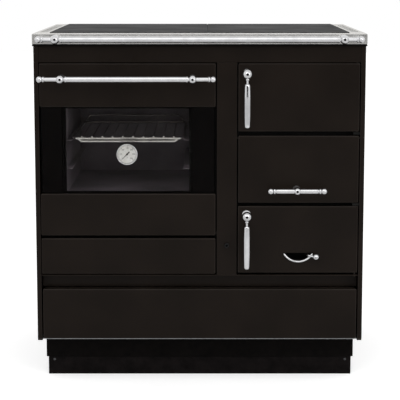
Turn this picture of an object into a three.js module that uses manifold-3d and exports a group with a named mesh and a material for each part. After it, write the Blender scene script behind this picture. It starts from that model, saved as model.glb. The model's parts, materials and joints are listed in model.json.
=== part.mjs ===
// A wood cookstove with an oven: steel casing on a recessed plinth, two hob plates in a stainless
// top frame, an oven with a glazed drop-down door on the left, a brick-lined firebox with a fire
// door, a stoking flap and an ash door on the right, and a wood drawer along the bottom.
// Millimetres, +Z up. Y = 0 is the front face of the doors while the pieces are made, Y grows
// towards the back, and the whole stove is moved at the end so that its box is centred.

import * as THREE from 'three';
import { mergeVertices } from 'three/addons/utils/BufferGeometryUtils.js';
import Module from 'manifold-3d';

const wasm = await Module();
wasm.setup();

// ---------- driving dimensions ----------

const bodyWidth = 800;
const bodyDepth = 600;
const bodyHeight = 860;

const gap = 0.3;              // between fixed pieces that touch
const runningGap = 0.3;       // radial, between a rod and the hole it turns or slides in
const sheet = 2;              // casing sheet
const edgeSlack = 0.5;        // between a casing sheet and the side panel beside it

const sidePanelThickness = 11;
const sidePanelRim = 12;
const sidePanelCorner = 9;
const topBuildUp = 32;        // trim, frame and hob plates over the casing

const trimHeight = 4;
const trimWidth = 30;
const trimOverhang = 2.5;
const frameSheet = 2;
const frameEdgeBevel = 1.2;
const hobThickness = 12;
const hobProud = 2;
const hobJointX = 21;
const hobJointGap = 1;
const hobSlack = 0.5;
const hobSideBorder = 38;
const hobFrontBorder = 45;
const hobBackBorder = 33;
const hobLedge = 12;
const hobLedgeThickness = 3;
const hobBarWidth = 24;

const ventStripWidth = 18;
const ventStripFromEnds = 90;
const ventStripCorner = 4;
const ventFlange = 3;
const ventSlotBorder = 3;
const ventSlotWidth = 6;
const ventSlotPitch = 21;

const plinthHeight = 101;
const lowerPlinthHeight = 46;
const plinthSetback = 58;
const plinthSideInset = 15;
const plinthWall = 4;
const plinthOverlap = 14;
const plinthSlack = 0.5;
const footPadRadius = 25;
const footStemRadius = 6;
const footInset = 60;
const footFrontSetback = 92;

const columnLeft = 42;        // pilaster between the oven and the firebox side
const columnRight = 90;
const leftDoorEdgeGap = 1.5;
const rightDoorEdgeGap = 2.5;
const doorSideGap = 3.5;
const doorTopGap = 2.5;
const doorThickness = 28;
const panelDepth = 14;        // folded front pan of every door
const panelSkin = 2.5;
const panelRim = 12;
const panelBevel = 2;
const panelCorner = 3;
const linerInset = 1.5;
const linerRim = 20;
const linerSkin = 4;
const sealGap = 2;
const platePastColumn = 1.5;

const fasciaHeight = 39;
const fasciaSetback = 2;
const fasciaSheet = 1.5;
const lowerDoorsBottom = 273;
const ovenDoorHeight = 420.5;
const windowFromDoorTop = 105.3;
const windowHeight = 212;
const sootCoverGap = 7.5;
const sootCoverRim = 9;
const fireDoorHeight = 164.5;
const fireDoorGap = 11;
const flapHeight = 164;
const flapGap = 8.5;

const crossRailBelowDoors = 5.5;
const crossRailBehindPlates = 2;
const drawerAbovePlinth = 6;
const drawerTop = 230;
const drawerTopGap = 3;
const drawerSideGap = 6;
const drawerFrontThickness = 16;
const drawerBoxSideGap = 21;
const drawerBoxBackGap = 83.7;
const drawerBoxHeight = 100;
const drawerBoxWall = 1.5;
const drawerBoxLift = 4;
const runnerWidth = 16;
const floorPanelBelowRail = 20;
const floorPanelThickness = 3;
const basePlateThickness = 3;
const basePlateSetback = 20;

const hingePinRadius = 2.5;
const hingeBehindFront = 7;
const hingeFromEdge = 6;
const hingePinBite = 5;
const hingeLugWidth = 14;
const hingeLugSetback = 2;
const hingeLugGap = 1.5;

const railRadius = 7;
const railNeckRadius = 5;
const railBallRadius = 11;
const rosetteRadius = 9.5;
const screwSocketRadius = 3;
const screwSocketDepth = 3;
const topRailBelowTop = 14.5;
const topRailStandoff = 40;
const topRailFromSide = 8;
const topRailBallInset = 48;
const ovenHandleBelowDoorTop = 35.5;
const ovenHandleStandoff = 45;
const ovenHandleBallInset = 56.5;
const ovenHandleBallRadius = 10.5;

const leverBallRadius = 12.5;
const leverStandoff = 38;
const leverFromDoorEdge = 20.5;
const fireLeverBelowTop = 23.5;
const ashLeverBelowTop = 20;
const leverSpindleRadius = 5;
const leverNeckRadius = 3.5;
const leverCamReach = 5.5;
const leverCamHalfHeight = 3.5;
const leverCamThickness = 4;
const gripTopBelowBall = 22.5;
const gripLength = 107;
const gripEndRadius = 7.6;
const gripWaistRadius = 9;

const flapHandleWidth = 144;
const flapHandleAboveBottom = 33.7;
const flapHandleFromCentre = -4.5;
const flapHandleStandoff = 38;
const flapHandleBallRadius = 10.5;

const regulatorFromCentre = 1;
const regulatorAboveBottom = 69.5;
const regulatorRadius = 38;
const regulatorLipThickness = 4.5;
const regulatorLipReach = 6;
const regulatorHalfAngle = 59;
const regulatorStemAngle = 45;
const regulatorStemPath = 33;
const regulatorStemRadius = 2.5;
const regulatorKnobAngle = 58;
const regulatorKnobPath = 50;
const regulatorKnobRadius = 8;
const regulatorKnobStandoff = 17;
const regulatorPinRadius = 4;
const damperThickness = 2;
const airWayHalfWidth = 30;

const thermometerAboveWindowBottom = 97.5;
const thermometerRadius = 26;
const thermometerRim = 2.5;
const thermometerDepth = 7.6;
const thermometerStemRadius = 4;
const needleAngle = 225;

const ovenWidth = 300;
const ovenHeight = 210;
const ovenDepth = 420;
const ovenFromDoorCentre = -1.5;
const ovenFloorBelowWindow = 4.5;
const ovenWall = 2;
const rackAboveFloor = 132;
const rackWireRadius = 3;
const rackBarRadius = 2;
const rackBarCount = 10;
const rackSideGap = 9;
const ovenSealWidth = 6;

const frontPlateThickness = 3;
const castFrameThickness = 10;
const openingMargin = 12;     // cast frame bars round the three firebox openings
const openingHingeMargin = 20.5;
const smokeCasingSideGap = 3;
const smokeCasingPastColumn = 8;
const smokeCasingBackGap = 40;
const crossoverBelowCasingTop = 127;
const fireboxWall = 3;
const fireboxSideGap = 3;
const fireboxPastColumn = 4;
const fireboxLedgeWidth = 10;
const fireboxLedgeThickness = 3;
const fireboxBackGap = 80;
const brickThickness = 30;
const brickHeight = 178;
const grateAboveFlapBottom = 74;
const carrierThickness = 12;
const carrierRailDrop = 16;
const grateWidth = 188;
const grateFront = 100;
const grateBackBorder = 120;
const grateThickness = 8;
const grateProud = 2;
const grateSlotWidth = 8;
const grateSlotCount = 9;
const riddleTravel = 30;
const riddleRodRadius = 5.5;
const riddleRodAboveDoors = 69;
const riddlePlateThickness = 7;
const riddleBarSize = 12;
const riddleBarHeight = 10;
const riddleBarFromMiddle = 10;
const riddleBarBelowGrate = 36;
const riddlePegRadius = 4;
const ashPanHeight = 80;
const ashPanWall = 1.5;
const ashPanBackGap = 78;
const ashPanRailLift = 3.7;
const ashPanRailInset = 8;
const ashPanRailWidth = 10;

const fluePipeRadius = 75;
const flueWall = 3;
const flueReach = 45;
const flueBelowCasingTop = 87;
const flueFlangeRadius = 90;

// ---------- dimensions that follow from them ----------

const halfWidth = bodyWidth / 2;
const innerHalfWidth = halfWidth - sidePanelThickness;
const sheetHalfWidth = innerHalfWidth - edgeSlack;
const casingTop = bodyHeight - topBuildUp;
const frameBottom = casingTop + trimHeight + gap;
const frameTop = bodyHeight - hobProud;
const frameHalfWidth = halfWidth + trimOverhang;
const hobHalfWidth = frameHalfWidth - hobSideBorder;
const hobBack = bodyDepth - hobBackBorder;
const hobBottom = bodyHeight - hobThickness;

const leftDoorLeft = -innerHalfWidth + leftDoorEdgeGap;
const leftDoorRight = columnLeft - doorSideGap;
const rightDoorLeft = columnRight + doorSideGap;
const rightDoorRight = innerHalfWidth - rightDoorEdgeGap;
const plateFront = doorThickness + sealGap;
const fasciaBottom = casingTop - fasciaHeight;
const doorsTop = fasciaBottom - doorTopGap;
const ovenDoorBottom = doorsTop - ovenDoorHeight;
const windowTop = doorsTop - windowFromDoorTop;
const windowBottom = windowTop - windowHeight;
const sootCoverTop = ovenDoorBottom - sootCoverGap;
const fireDoorBottom = doorsTop - fireDoorHeight;
const flapTop = fireDoorBottom - fireDoorGap;
const flapBottom = flapTop - flapHeight;
const ashDoorTop = flapBottom - flapGap;

const crossRailTop = lowerDoorsBottom - crossRailBelowDoors;
const crossRailSetback = plateFront + crossRailBehindPlates;
const crossRailBottom = drawerTop + drawerTopGap;
const drawerBottom = plinthHeight + drawerAbovePlinth;
const drawerHalfWidth = innerHalfWidth - drawerSideGap;
const drawerBoxHalfWidth = innerHalfWidth - drawerBoxSideGap;
const drawerBoxFront = drawerFrontThickness + gap;
const drawerBoxBack = bodyDepth - drawerBoxBackGap;
const drawerFloor = drawerBottom + drawerBoxLift;
const floorPanelTop = crossRailTop - floorPanelBelowRail;

const hingeSideX = rightDoorRight - hingeFromEdge;
const ovenHingeHeight = ovenDoorBottom + hingeFromEdge;
const flapHingeHeight = flapTop - hingeFromEdge;
const leverX = rightDoorLeft + leverFromDoorEdge;
const rightDoorCentre = (rightDoorLeft + rightDoorRight) / 2;
const regulatorX = rightDoorCentre + regulatorFromCentre;
const regulatorHeight = lowerDoorsBottom + regulatorAboveBottom;
const regulatorMouthRadius = regulatorRadius + 0.5;

const ovenCentreX = (leftDoorLeft + leftDoorRight) / 2 + ovenFromDoorCentre;
const ovenLeft = ovenCentreX - ovenWidth / 2;
const ovenRight = ovenCentreX + ovenWidth / 2;
const ovenFloor = windowBottom - ovenFloorBelowWindow;
const rackHeight = ovenFloor + rackAboveFloor;
const thermometerHeight = windowBottom + thermometerAboveWindowBottom;
const sootOpeningX = [leftDoorLeft + 2 * sootCoverRim, leftDoorRight - 2 * sootCoverRim];
const sootOpeningZ = [lowerDoorsBottom + sootCoverRim, sootCoverTop - sootCoverRim];

const smokeCasingLeft = -innerHalfWidth + smokeCasingSideGap;
const smokeCasingRight = columnLeft + smokeCasingPastColumn;
const smokeCasingFront = crossRailSetback + sheet + gap;
const smokeCasingBack = bodyDepth - smokeCasingBackGap;
const crossoverHeight = casingTop - crossoverBelowCasingTop;
const fireboxLeft = columnRight + fireboxPastColumn;
const fireboxRight = innerHalfWidth - fireboxSideGap;
const fireboxFront = plateFront + castFrameThickness + gap;
const fireboxBack = bodyDepth - fireboxBackGap;
const fireOpeningLeft = rightDoorLeft + openingMargin;
const fireOpeningRight = rightDoorRight - openingHingeMargin;
const castFrameLeft = columnRight + platePastColumn;
const grateLevel = flapBottom + grateAboveFlapBottom;
const grateBack = fireboxBack - grateBackBorder;
const riddleRodX = (columnLeft + columnRight) / 2;
const riddleRodHeight = lowerDoorsBottom + riddleRodAboveDoors;
const riddleBarFront = (grateFront + grateBack) / 2 - riddleBarFromMiddle;
const riddleBarY = [riddleBarFront, riddleBarFront + riddleBarSize];
const riddleBarTop = grateLevel - riddleBarBelowGrate;
const riddleBarZ = [riddleBarTop - riddleBarHeight, riddleBarTop];

const flueHeight = casingTop - flueBelowCasingTop;
const handleReach = ovenHandleStandoff + ovenHandleBallRadius;
const frontPlaneY = (handleReach - bodyDepth - flueReach) / 2;

// ---------- materials ----------

function finish(color, roughness, metalness) {
  return new THREE.MeshStandardMaterial({ color, roughness, metalness });
}

const enamel = finish(0x1f1a17, 0.42, 0.1);
const castIron = finish(0x38383a, 0.6, 0.6);
const stainless = finish(0xb9b7b2, 0.3, 0.9);
const chrome = finish(0xd6d6d6, 0.12, 1);
const darkSteel = finish(0x151413, 0.55, 0.5);
const galvanised = finish(0x8a8c8d, 0.5, 0.8);
const glass = new THREE.MeshStandardMaterial({
  color: 0x14110f, roughness: 0.05, metalness: 0, transparent: true, opacity: 0.45,
});
const clearGlass = new THREE.MeshStandardMaterial({
  color: 0xf2f4f4, roughness: 0.05, metalness: 0, transparent: true, opacity: 0.25,
});
const brick = finish(0xb49a78, 0.95, 0);
const dialWhite = finish(0xe9e6dd, 0.5, 0);
const sealGrey = finish(0x2c2b29, 0.9, 0);

// ---------- solid modelling helpers ----------

function toRadians(degrees) {
  return (degrees * Math.PI) / 180;
}

function toSolid(geometry) {
  geometry.deleteAttribute('normal');
  geometry.deleteAttribute('uv');
  const merged = mergeVertices(geometry);
  const corners = merged.index.array;
  const triangles = [];
  for (let i = 0; i < corners.length; i += 3) {
    const [a, b, c] = [corners[i], corners[i + 1], corners[i + 2]];
    if (a !== b && b !== c && c !== a) triangles.push(a, b, c);
  }
  return new wasm.Manifold(new wasm.Mesh({
    numProp: 3,
    vertProperties: merged.attributes.position.array,
    triVerts: new Uint32Array(triangles),
  }));
}

function box([x0, x1], [y0, y1], [z0, z1]) {
  const geometry = new THREE.BoxGeometry(x1 - x0, y1 - y0, z1 - z0);
  geometry.translate((x0 + x1) / 2, (y0 + y1) / 2, (z0 + z1) / 2);
  return toSolid(geometry);
}

function union(...solids) {
  return solids.reduce((whole, piece) => whole.add(piece));
}

function cut(solid, ...tools) {
  return tools.reduce((rest, tool) => rest.subtract(tool), solid);
}

// A revolved solid. The profile is a list of [radius, distance along the axis], from low to high.
function turned(profile, axis, [x, y, z], segments = 12) {
  const points = profile.map(([radius, along]) => new THREE.Vector2(radius, along));
  const geometry = new THREE.LatheGeometry(points, segments);
  if (axis === 'x') geometry.rotateZ(-Math.PI / 2);
  if (axis === 'z') geometry.rotateX(Math.PI / 2);
  geometry.translate(x, y, z);
  return toSolid(geometry);
}

function rod(radius, axis, from, to, at, segments = 12) {
  return turned([[0, from], [radius, from], [radius, to], [0, to]], axis, at, segments);
}

function ball(radius, centre, segments = 12) {
  const steps = segments / 2;
  const profile = [];
  for (let i = 0; i <= steps; i += 1) {
    const angle = -Math.PI / 2 + (Math.PI * i) / steps;
    profile.push([i % steps === 0 ? 0 : radius * Math.cos(angle), radius * Math.sin(angle)]);
  }
  return turned(profile, 'y', centre, segments);
}

function rectangle(x0, x1, z0, z1) {
  const shape = new THREE.Shape();
  shape.moveTo(x0, z0);
  shape.lineTo(x1, z0);
  shape.lineTo(x1, z1);
  shape.lineTo(x0, z1);
  shape.closePath();
  return shape;
}

function roundedRectangle(x0, x1, z0, z1, radius) {
  const shape = new THREE.Shape();
  shape.moveTo(x0 + radius, z0);
  shape.lineTo(x1 - radius, z0);
  shape.absarc(x1 - radius, z0 + radius, radius, -Math.PI / 2, 0);
  shape.lineTo(x1, z1 - radius);
  shape.absarc(x1 - radius, z1 - radius, radius, 0, Math.PI / 2);
  shape.lineTo(x0 + radius, z1);
  shape.absarc(x0 + radius, z1 - radius, radius, Math.PI / 2, Math.PI);
  shape.lineTo(x0, z0 + radius);
  shape.absarc(x0 + radius, z0 + radius, radius, Math.PI, 1.5 * Math.PI);
  return shape;
}

// A shape drawn in X and Z, standing upright between two distances from the front.
function uprightPlate(shape, [y0, y1], bevel = 0, curveSegments = 2) {
  const geometry = new THREE.ExtrudeGeometry(shape, {
    depth: y1 - y0 - 2 * bevel,
    curveSegments,
    bevelEnabled: bevel > 0,
    bevelThickness: bevel,
    bevelSize: bevel,
    bevelOffset: -bevel,
    bevelSegments: 1,
  });
  geometry.rotateX(Math.PI / 2);
  geometry.translate(0, y1 - bevel, 0);
  return toSolid(geometry);
}

// A shape drawn in Y and Z, run along X.
function sectionAlongX(points, [x0, x1]) {
  const shape = new THREE.Shape(points.map(([y, z]) => new THREE.Vector2(y, z)));
  const geometry = new THREE.ExtrudeGeometry(shape, { depth: x1 - x0, bevelEnabled: false });
  geometry.rotateY(Math.PI / 2);
  geometry.rotateX(Math.PI / 2);
  geometry.translate(x0, 0, 0);
  return toSolid(geometry);
}

// A shape drawn in X and Y, standing from z0 to z1.
function flatPlate(shape, [z0, z1], bevel = 0, curveSegments = 3) {
  const geometry = new THREE.ExtrudeGeometry(shape, {
    depth: z1 - z0 - 2 * bevel,
    curveSegments,
    bevelEnabled: bevel > 0,
    bevelThickness: bevel,
    bevelSize: bevel,
    bevelOffset: -bevel,
    bevelSegments: 1,
  });
  geometry.translate(0, 0, z0 + bevel);
  return toSolid(geometry);
}

const stove = new THREE.Group();

function addMesh(name, solid, material, parent = stove) {
  const { numProp, vertProperties, triVerts } = solid.getMesh();
  const position = new Float32Array((vertProperties.length / numProp) * 3);
  for (let i = 0; i < position.length / 3; i += 1) {
    for (let k = 0; k < 3; k += 1) position[3 * i + k] = vertProperties[i * numProp + k];
  }
  const geometry = new THREE.BufferGeometry();
  geometry.setAttribute('position', new THREE.BufferAttribute(position, 3));
  geometry.setIndex(new THREE.BufferAttribute(triVerts, 1));
  geometry.computeVertexNormals();
  const mesh = new THREE.Mesh(geometry, material.clone());
  mesh.name = name;
  parent.add(mesh);
  return mesh;
}

// ---------- plinth and feet ----------

function plinthRing(inset, setback, wall, [z0, z1]) {
  const outerX = halfWidth - inset;
  const back = bodyDepth - plinthSideInset - (setback - plinthSetback);
  const outer = box([-outerX, outerX], [setback, back], [z0, z1]);
  const hollow = box(
    [-outerX + wall, outerX - wall],
    [setback + wall, back - wall],
    [z0 - 1, z1 + 1],
  );
  return cut(outer, hollow);
}

function makePlinth() {
  const lowerInset = plinthWall + plinthSlack;
  const upper = plinthRing(plinthSideInset, plinthSetback, plinthWall,
    [lowerPlinthHeight, plinthHeight - gap]);
  const lower = plinthRing(plinthSideInset + lowerInset, plinthSetback + lowerInset, sheet,
    [0, lowerPlinthHeight + plinthOverlap]);
  addMesh('upper_plinth', upper, enamel);
  addMesh('lower_plinth', lower, enamel);
}

function makeFeet() {
  const nutRadius = 10;
  const profile = [
    [0, 0], [footPadRadius - 2, 0], [footPadRadius, 2], [footPadRadius, 6], [nutRadius, 9],
    [nutRadius, 16], [footStemRadius, 16], [footStemRadius, plinthHeight - gap],
    [0, plinthHeight - gap],
  ];
  const footX = halfWidth - footInset;
  const rows = [['front', footFrontSetback], ['back', bodyDepth - footInset]];
  for (const [row, y] of rows) {
    for (const [side, x] of [['left', -footX], ['right', footX]]) {
      const foot = turned(profile, 'z', [0, 0, 0]);
      const mesh = addMesh(`levelling_foot_${row}_${side}`, foot, galvanised);
      mesh.position.set(x, y, 0);
    }
  }
}

// ---------- casing ----------

function makeSidePanels() {
  for (const side of [-1, 1]) {
    const outline = new THREE.Shape();
    outline.moveTo(sidePanelCorner, plinthHeight);
    outline.lineTo(bodyDepth, plinthHeight);
    outline.lineTo(bodyDepth, casingTop - gap);
    outline.lineTo(0, casingTop - gap);
    outline.lineTo(0, plinthHeight + sidePanelCorner);
    outline.absarc(sidePanelCorner, plinthHeight + sidePanelCorner, sidePanelCorner, Math.PI,
      1.5 * Math.PI);
    const geometry = new THREE.ExtrudeGeometry(outline, {
      depth: sidePanelThickness, bevelEnabled: false, curveSegments: 4,
    });
    geometry.rotateY(Math.PI / 2);
    geometry.rotateX(Math.PI / 2);
    geometry.translate(side > 0 ? innerHalfWidth : -halfWidth, 0, 0);
    const innerFace = side * innerHalfWidth;
    const pocketFloor = side * (halfWidth - sheet);
    const pocket = box(
      [Math.min(innerFace - side, pocketFloor), Math.max(innerFace - side, pocketFloor)],
      [sidePanelRim, bodyDepth - sidePanelRim],
      [plinthHeight + sidePanelRim, casingTop - sidePanelRim],
    );
    const rodHeight = side > 0 ? flapHingeHeight : ovenHingeHeight;
    const biteEnd = side * (innerHalfWidth + hingePinBite + gap);
    const rodHole = rod(hingePinRadius + runningGap, 'x', Math.min(innerFace - side, biteEnd),
      Math.max(innerFace - side, biteEnd), [0, hingeBehindFront, rodHeight]);
    const panel = cut(toSolid(geometry), pocket, rodHole);
    addMesh(side > 0 ? 'right_side_panel' : 'left_side_panel', panel, enamel);
  }
}

function makeCasingPlates() {
  const edge = sheetHalfWidth;
  const back = bodyDepth;
  const flueHole = rod(fluePipeRadius + 0.8, 'y', back - 2 * sheet, back + sheet,
    [ovenCentreX, 0, flueHeight], 32);
  const backPanel = cut(
    box([-edge, edge], [back - sheet, back], [plinthHeight + gap, casingTop - gap]),
    flueHole,
  );
  addMesh('back_panel', backPanel, galvanised);
  const plate = box([-edge, edge], [basePlateSetback, back - sheet - gap],
    [plinthHeight, plinthHeight + basePlateThickness]);
  const runnerY = [2 * basePlateSetback, drawerBoxBack + basePlateSetback];
  const runnerTop = drawerFloor - gap;
  const runners = [-1, 1].map((side) => {
    const outer = side * (innerHalfWidth - 3);
    const inner = side * (drawerBoxHalfWidth - runnerWidth);
    return box([Math.min(outer, inner), Math.max(outer, inner)], runnerY,
      [plinthHeight + 1, runnerTop]);
  });
  addMesh('base_plate', union(plate, ...runners), galvanised);
  addMesh('floor_panel', box([-edge, edge], [smokeCasingFront, back - sheet - gap],
    [floorPanelTop - floorPanelThickness, floorPanelTop]), galvanised);
}

function makeFascia() {
  const edge = sheetHalfWidth;
  const y0 = fasciaSetback;
  const top = casingTop - gap;
  const section = [
    [y0, fasciaBottom], [doorThickness, fasciaBottom], [doorThickness, fasciaBottom + sheet],
    [y0 + fasciaSheet, fasciaBottom + sheet], [y0 + fasciaSheet, top - sheet],
    [doorThickness, top - sheet], [doorThickness, top], [y0, top],
  ];
  const hole = rod(hingePinRadius + runningGap, 'z', fasciaBottom - 1, fasciaBottom + sheet + 1,
    [hingeSideX, hingeBehindFront, 0]);
  addMesh('front_fascia', cut(sectionAlongX(section, [-edge, edge]), hole), enamel);
}

function makePilaster() {
  const [z0, z1] = [crossRailTop + gap, fasciaBottom - gap];
  const outer = box([columnLeft, columnRight], [0, plateFront - gap], [z0, z1]);
  const channel = box([columnLeft + sheet, columnRight - sheet], [sheet, plateFront],
    [z0 - 1, z1 + 1]);
  const rodHole = rod(riddleRodRadius + runningGap, 'y', -1, sheet + 1,
    [riddleRodX, 0, riddleRodHeight]);
  const hingeHoles = [
    [columnLeft - 1, columnLeft + sheet + 1, ovenHingeHeight],
    [columnRight - sheet - 1, columnRight + 1, flapHingeHeight],
  ].map(([x0, x1, z]) => rod(hingePinRadius + runningGap, 'x', x0, x1, [0, hingeBehindFront, z]));
  addMesh('centre_pilaster', cut(outer, channel, rodHole, ...hingeHoles), enamel);
}

function makeCrossRail() {
  const edge = sheetHalfWidth;
  const y1 = crossRailSetback;
  const section = [
    [1, crossRailTop - sheet], [y1, crossRailTop - sheet], [y1, crossRailBottom],
    [y1 + sheet, crossRailBottom], [y1 + sheet, crossRailTop], [1, crossRailTop],
  ];
  const hole = rod(hingePinRadius + runningGap, 'z', crossRailTop - sheet - 1, crossRailTop + 1,
    [hingeSideX, hingeBehindFront, 0]);
  addMesh('lower_cross_rail', cut(sectionAlongX(section, [-edge, edge]), hole), enamel);
}

// ---------- top: trim, stainless frame, hob plates, rail ----------

function makeTopFrame() {
  const front = -trimOverhang;
  const trim = cut(
    box([-frameHalfWidth, frameHalfWidth], [front, bodyDepth], [casingTop, casingTop + trimHeight]),
    box([-frameHalfWidth + trimWidth, frameHalfWidth - trimWidth],
      [trimWidth, bodyDepth - trimWidth], [casingTop - 1, casingTop + trimHeight + 1]),
  );
  addMesh('top_trim', trim, darkSteel);

  const footprint = new THREE.Shape([
    new THREE.Vector2(-frameHalfWidth, front), new THREE.Vector2(frameHalfWidth, front),
    new THREE.Vector2(frameHalfWidth, bodyDepth), new THREE.Vector2(-frameHalfWidth, bodyDepth),
  ]);
  const block = flatPlate(footprint, [frameBottom, frameTop], frameEdgeBevel);
  const undersideOuter = box(
    [-frameHalfWidth + frameSheet, frameHalfWidth - frameSheet],
    [front + frameSheet, bodyDepth - frameSheet],
    [frameBottom - 2, frameTop - frameSheet],
  );
  const undersideInner = box(
    [-hobHalfWidth - frameSheet, hobHalfWidth + frameSheet],
    [hobFrontBorder - frameSheet, hobBack + frameSheet],
    [frameBottom - 3, frameTop],
  );
  const hobHole = box([-hobHalfWidth, hobHalfWidth], [hobFrontBorder, hobBack],
    [frameBottom - 1, frameTop + 1]);
  const ledgeTop = hobBottom - gap;
  const ledgeZ = [ledgeTop - hobLedgeThickness, ledgeTop];
  const ledgeY = [hobFrontBorder - 1, hobBack + 1];
  const ledgeRing = cut(
    box([-hobHalfWidth - 1, hobHalfWidth + 1], ledgeY, ledgeZ),
    box([-hobHalfWidth + hobLedge, hobHalfWidth - hobLedge],
      [hobFrontBorder + hobLedge, hobBack - hobLedge], [frameBottom, frameTop]),
  );
  const jointBar = box([hobJointX - hobBarWidth / 2, hobJointX + hobBarWidth / 2], ledgeY, ledgeZ);
  const ventHoles = [-1, 1].map((side) => ventOutline(side, 0, [frameBottom, frameTop + 1]));
  const channelRing = cut(undersideOuter, undersideInner);
  const frame = cut(union(cut(block, channelRing, hobHole), ledgeRing, jointBar), ...ventHoles);
  addMesh('top_frame', frame, stainless);
}

function ventOutline(side, inset, [z0, z1]) {
  const centreX = side * (hobHalfWidth + hobSideBorder / 2);
  const half = ventStripWidth / 2 - inset;
  const shape = roundedRectangle(centreX - half, centreX + half, ventStripFromEnds + inset,
    bodyDepth - ventStripFromEnds - inset, ventStripCorner - Math.min(inset, 0));
  return flatPlate(shape, [z0, z1], 0, 2);
}

function makeVentGrilles() {
  const under = frameTop - frameSheet - gap;
  const stripLength = bodyDepth - 2 * ventStripFromEnds;
  const slotCount = Math.floor(stripLength / ventSlotPitch) - 1;
  const firstSlot = (bodyDepth - (slotCount - 1) * ventSlotPitch) / 2;
  const slotHalf = ventStripWidth / 2 - ventSlotBorder;
  for (const side of [-1, 1]) {
    const centreX = side * (hobHalfWidth + hobSideBorder / 2);
    const raised = ventOutline(side, gap, [under - 1, frameTop - 1]);
    const flange = ventOutline(side, -ventFlange, [under - 1.5, under]);
    const slots = [];
    for (let i = 0; i < slotCount; i += 1) {
      const y = firstSlot + i * ventSlotPitch;
      slots.push(box([centreX - slotHalf, centreX + slotHalf],
        [y - ventSlotWidth / 2, y + ventSlotWidth / 2], [under - 3, frameTop + 1]));
    }
    const name = side > 0 ? 'vent_grille_right' : 'vent_grille_left';
    addMesh(name, cut(union(raised, flange), ...slots), stainless);
  }
}

function makeHob() {
  const jointHalf = hobJointGap / 2;
  const spans = [
    ['hob_plate_left', -hobHalfWidth + hobSlack, hobJointX - jointHalf],
    ['hob_plate_right', hobJointX + jointHalf, hobHalfWidth - hobSlack],
  ];
  for (const [name, x0, x1] of spans) {
    const outline = rectangle(x0, x1, hobFrontBorder + hobSlack, hobBack - hobSlack);
    addMesh(name, flatPlate(outline, [hobBottom, bodyHeight], 0.8), castIron);
  }
}

// Turned end of a rail: a rounded bead, a groove and a ring, as [radius, distance from the tip].
const finialProfile = [
  [0, 0], [4.4, 0.8], [7.4, 4.6], [7.4, 8.4], [4.4, 12], [6.8, 13.4], [6.8, 16.6],
  [railNeckRadius, 17.4],
];

// A rail along X: finials at both ends, thin necks through the two bracket balls, a thicker bar
// between them with a ring beside each ball, and the posts that hold the balls to the face behind.
function railSolid([x0, x1], [ballLeft, ballRight], ballRadius, standoff, z, faceY) {
  const clear = ballRadius + 1;
  const mirrored = finialProfile.slice().reverse();
  const profile = [
    ...finialProfile.map(([radius, along]) => [radius, x0 + along]),
    [railNeckRadius, ballLeft + clear],
    [railRadius + 1.2, ballLeft + clear],
    [railRadius + 1.2, ballLeft + clear + 3],
    [railRadius, ballLeft + clear + 4],
    [railRadius, ballRight - clear - 4],
    [railRadius + 1.2, ballRight - clear - 3],
    [railRadius + 1.2, ballRight - clear],
    [railNeckRadius, ballRight - clear],
    ...mirrored.map(([radius, along]) => [radius, x1 - along]),
  ];
  const brackets = [ballLeft, ballRight].map((x) => (
    bracketSolid(x, z, standoff, ballRadius, faceY)));
  return union(turned(profile, 'x', [0, -standoff, z]), ...brackets);
}

// The post that carries a rail: a rosette on the face behind, a waisted stem and a ball with a
// screw socket in front.
function bracketSolid(x, z, standoff, ballRadius, faceY) {
  const centreY = -standoff;
  const stem = turned([
    [0, centreY], [railNeckRadius - 1, centreY], [railNeckRadius - 1, centreY + ballRadius + 4],
    [railNeckRadius + 0.5, faceY - gap - 8], [rosetteRadius, faceY - gap - 3],
    [rosetteRadius, faceY - gap], [0, faceY - gap],
  ], 'y', [x, 0, z]);
  const socket = rod(screwSocketRadius, 'y', centreY - ballRadius - 1,
    centreY - ballRadius + screwSocketDepth, [x, 0, z], 8);
  return cut(union(ball(ballRadius, [x, centreY, z]), stem), socket);
}

function makeTopRail() {
  const end = halfWidth - topRailFromSide;
  const ballX = end - topRailBallInset;
  addMesh('top_rail', railSolid([-end, end], [-ballX, ballX], railBallRadius, topRailStandoff,
    bodyHeight - topRailBelowTop, -trimOverhang), chrome);
}

// ---------- doors: shared pieces ----------

// The folded front pan of a door: soft outer edges, a rim all round and an open back.
function doorPan([x0, x1], [z0, z1], depth = panelDepth) {
  const outer = uprightPlate(roundedRectangle(x0, x1, z0, z1, panelCorner), [0, depth], panelBevel);
  const hollow = box([x0 + panelRim, x1 - panelRim], [panelSkin, depth + 1],
    [z0 + panelRim, z1 - panelRim]);
  return cut(outer, hollow);
}

function doorLiner([x0, x1], [z0, z1]) {
  const y0 = panelDepth + gap;
  const outer = box([x0 + linerInset, x1 - linerInset], [y0, doorThickness],
    [z0 + linerInset, z1 - linerInset]);
  const hollow = box([x0 + linerRim, x1 - linerRim], [y0 - 1, doorThickness - linerSkin],
    [z0 + linerRim, z1 - linerRim]);
  return cut(outer, hollow);
}

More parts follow.
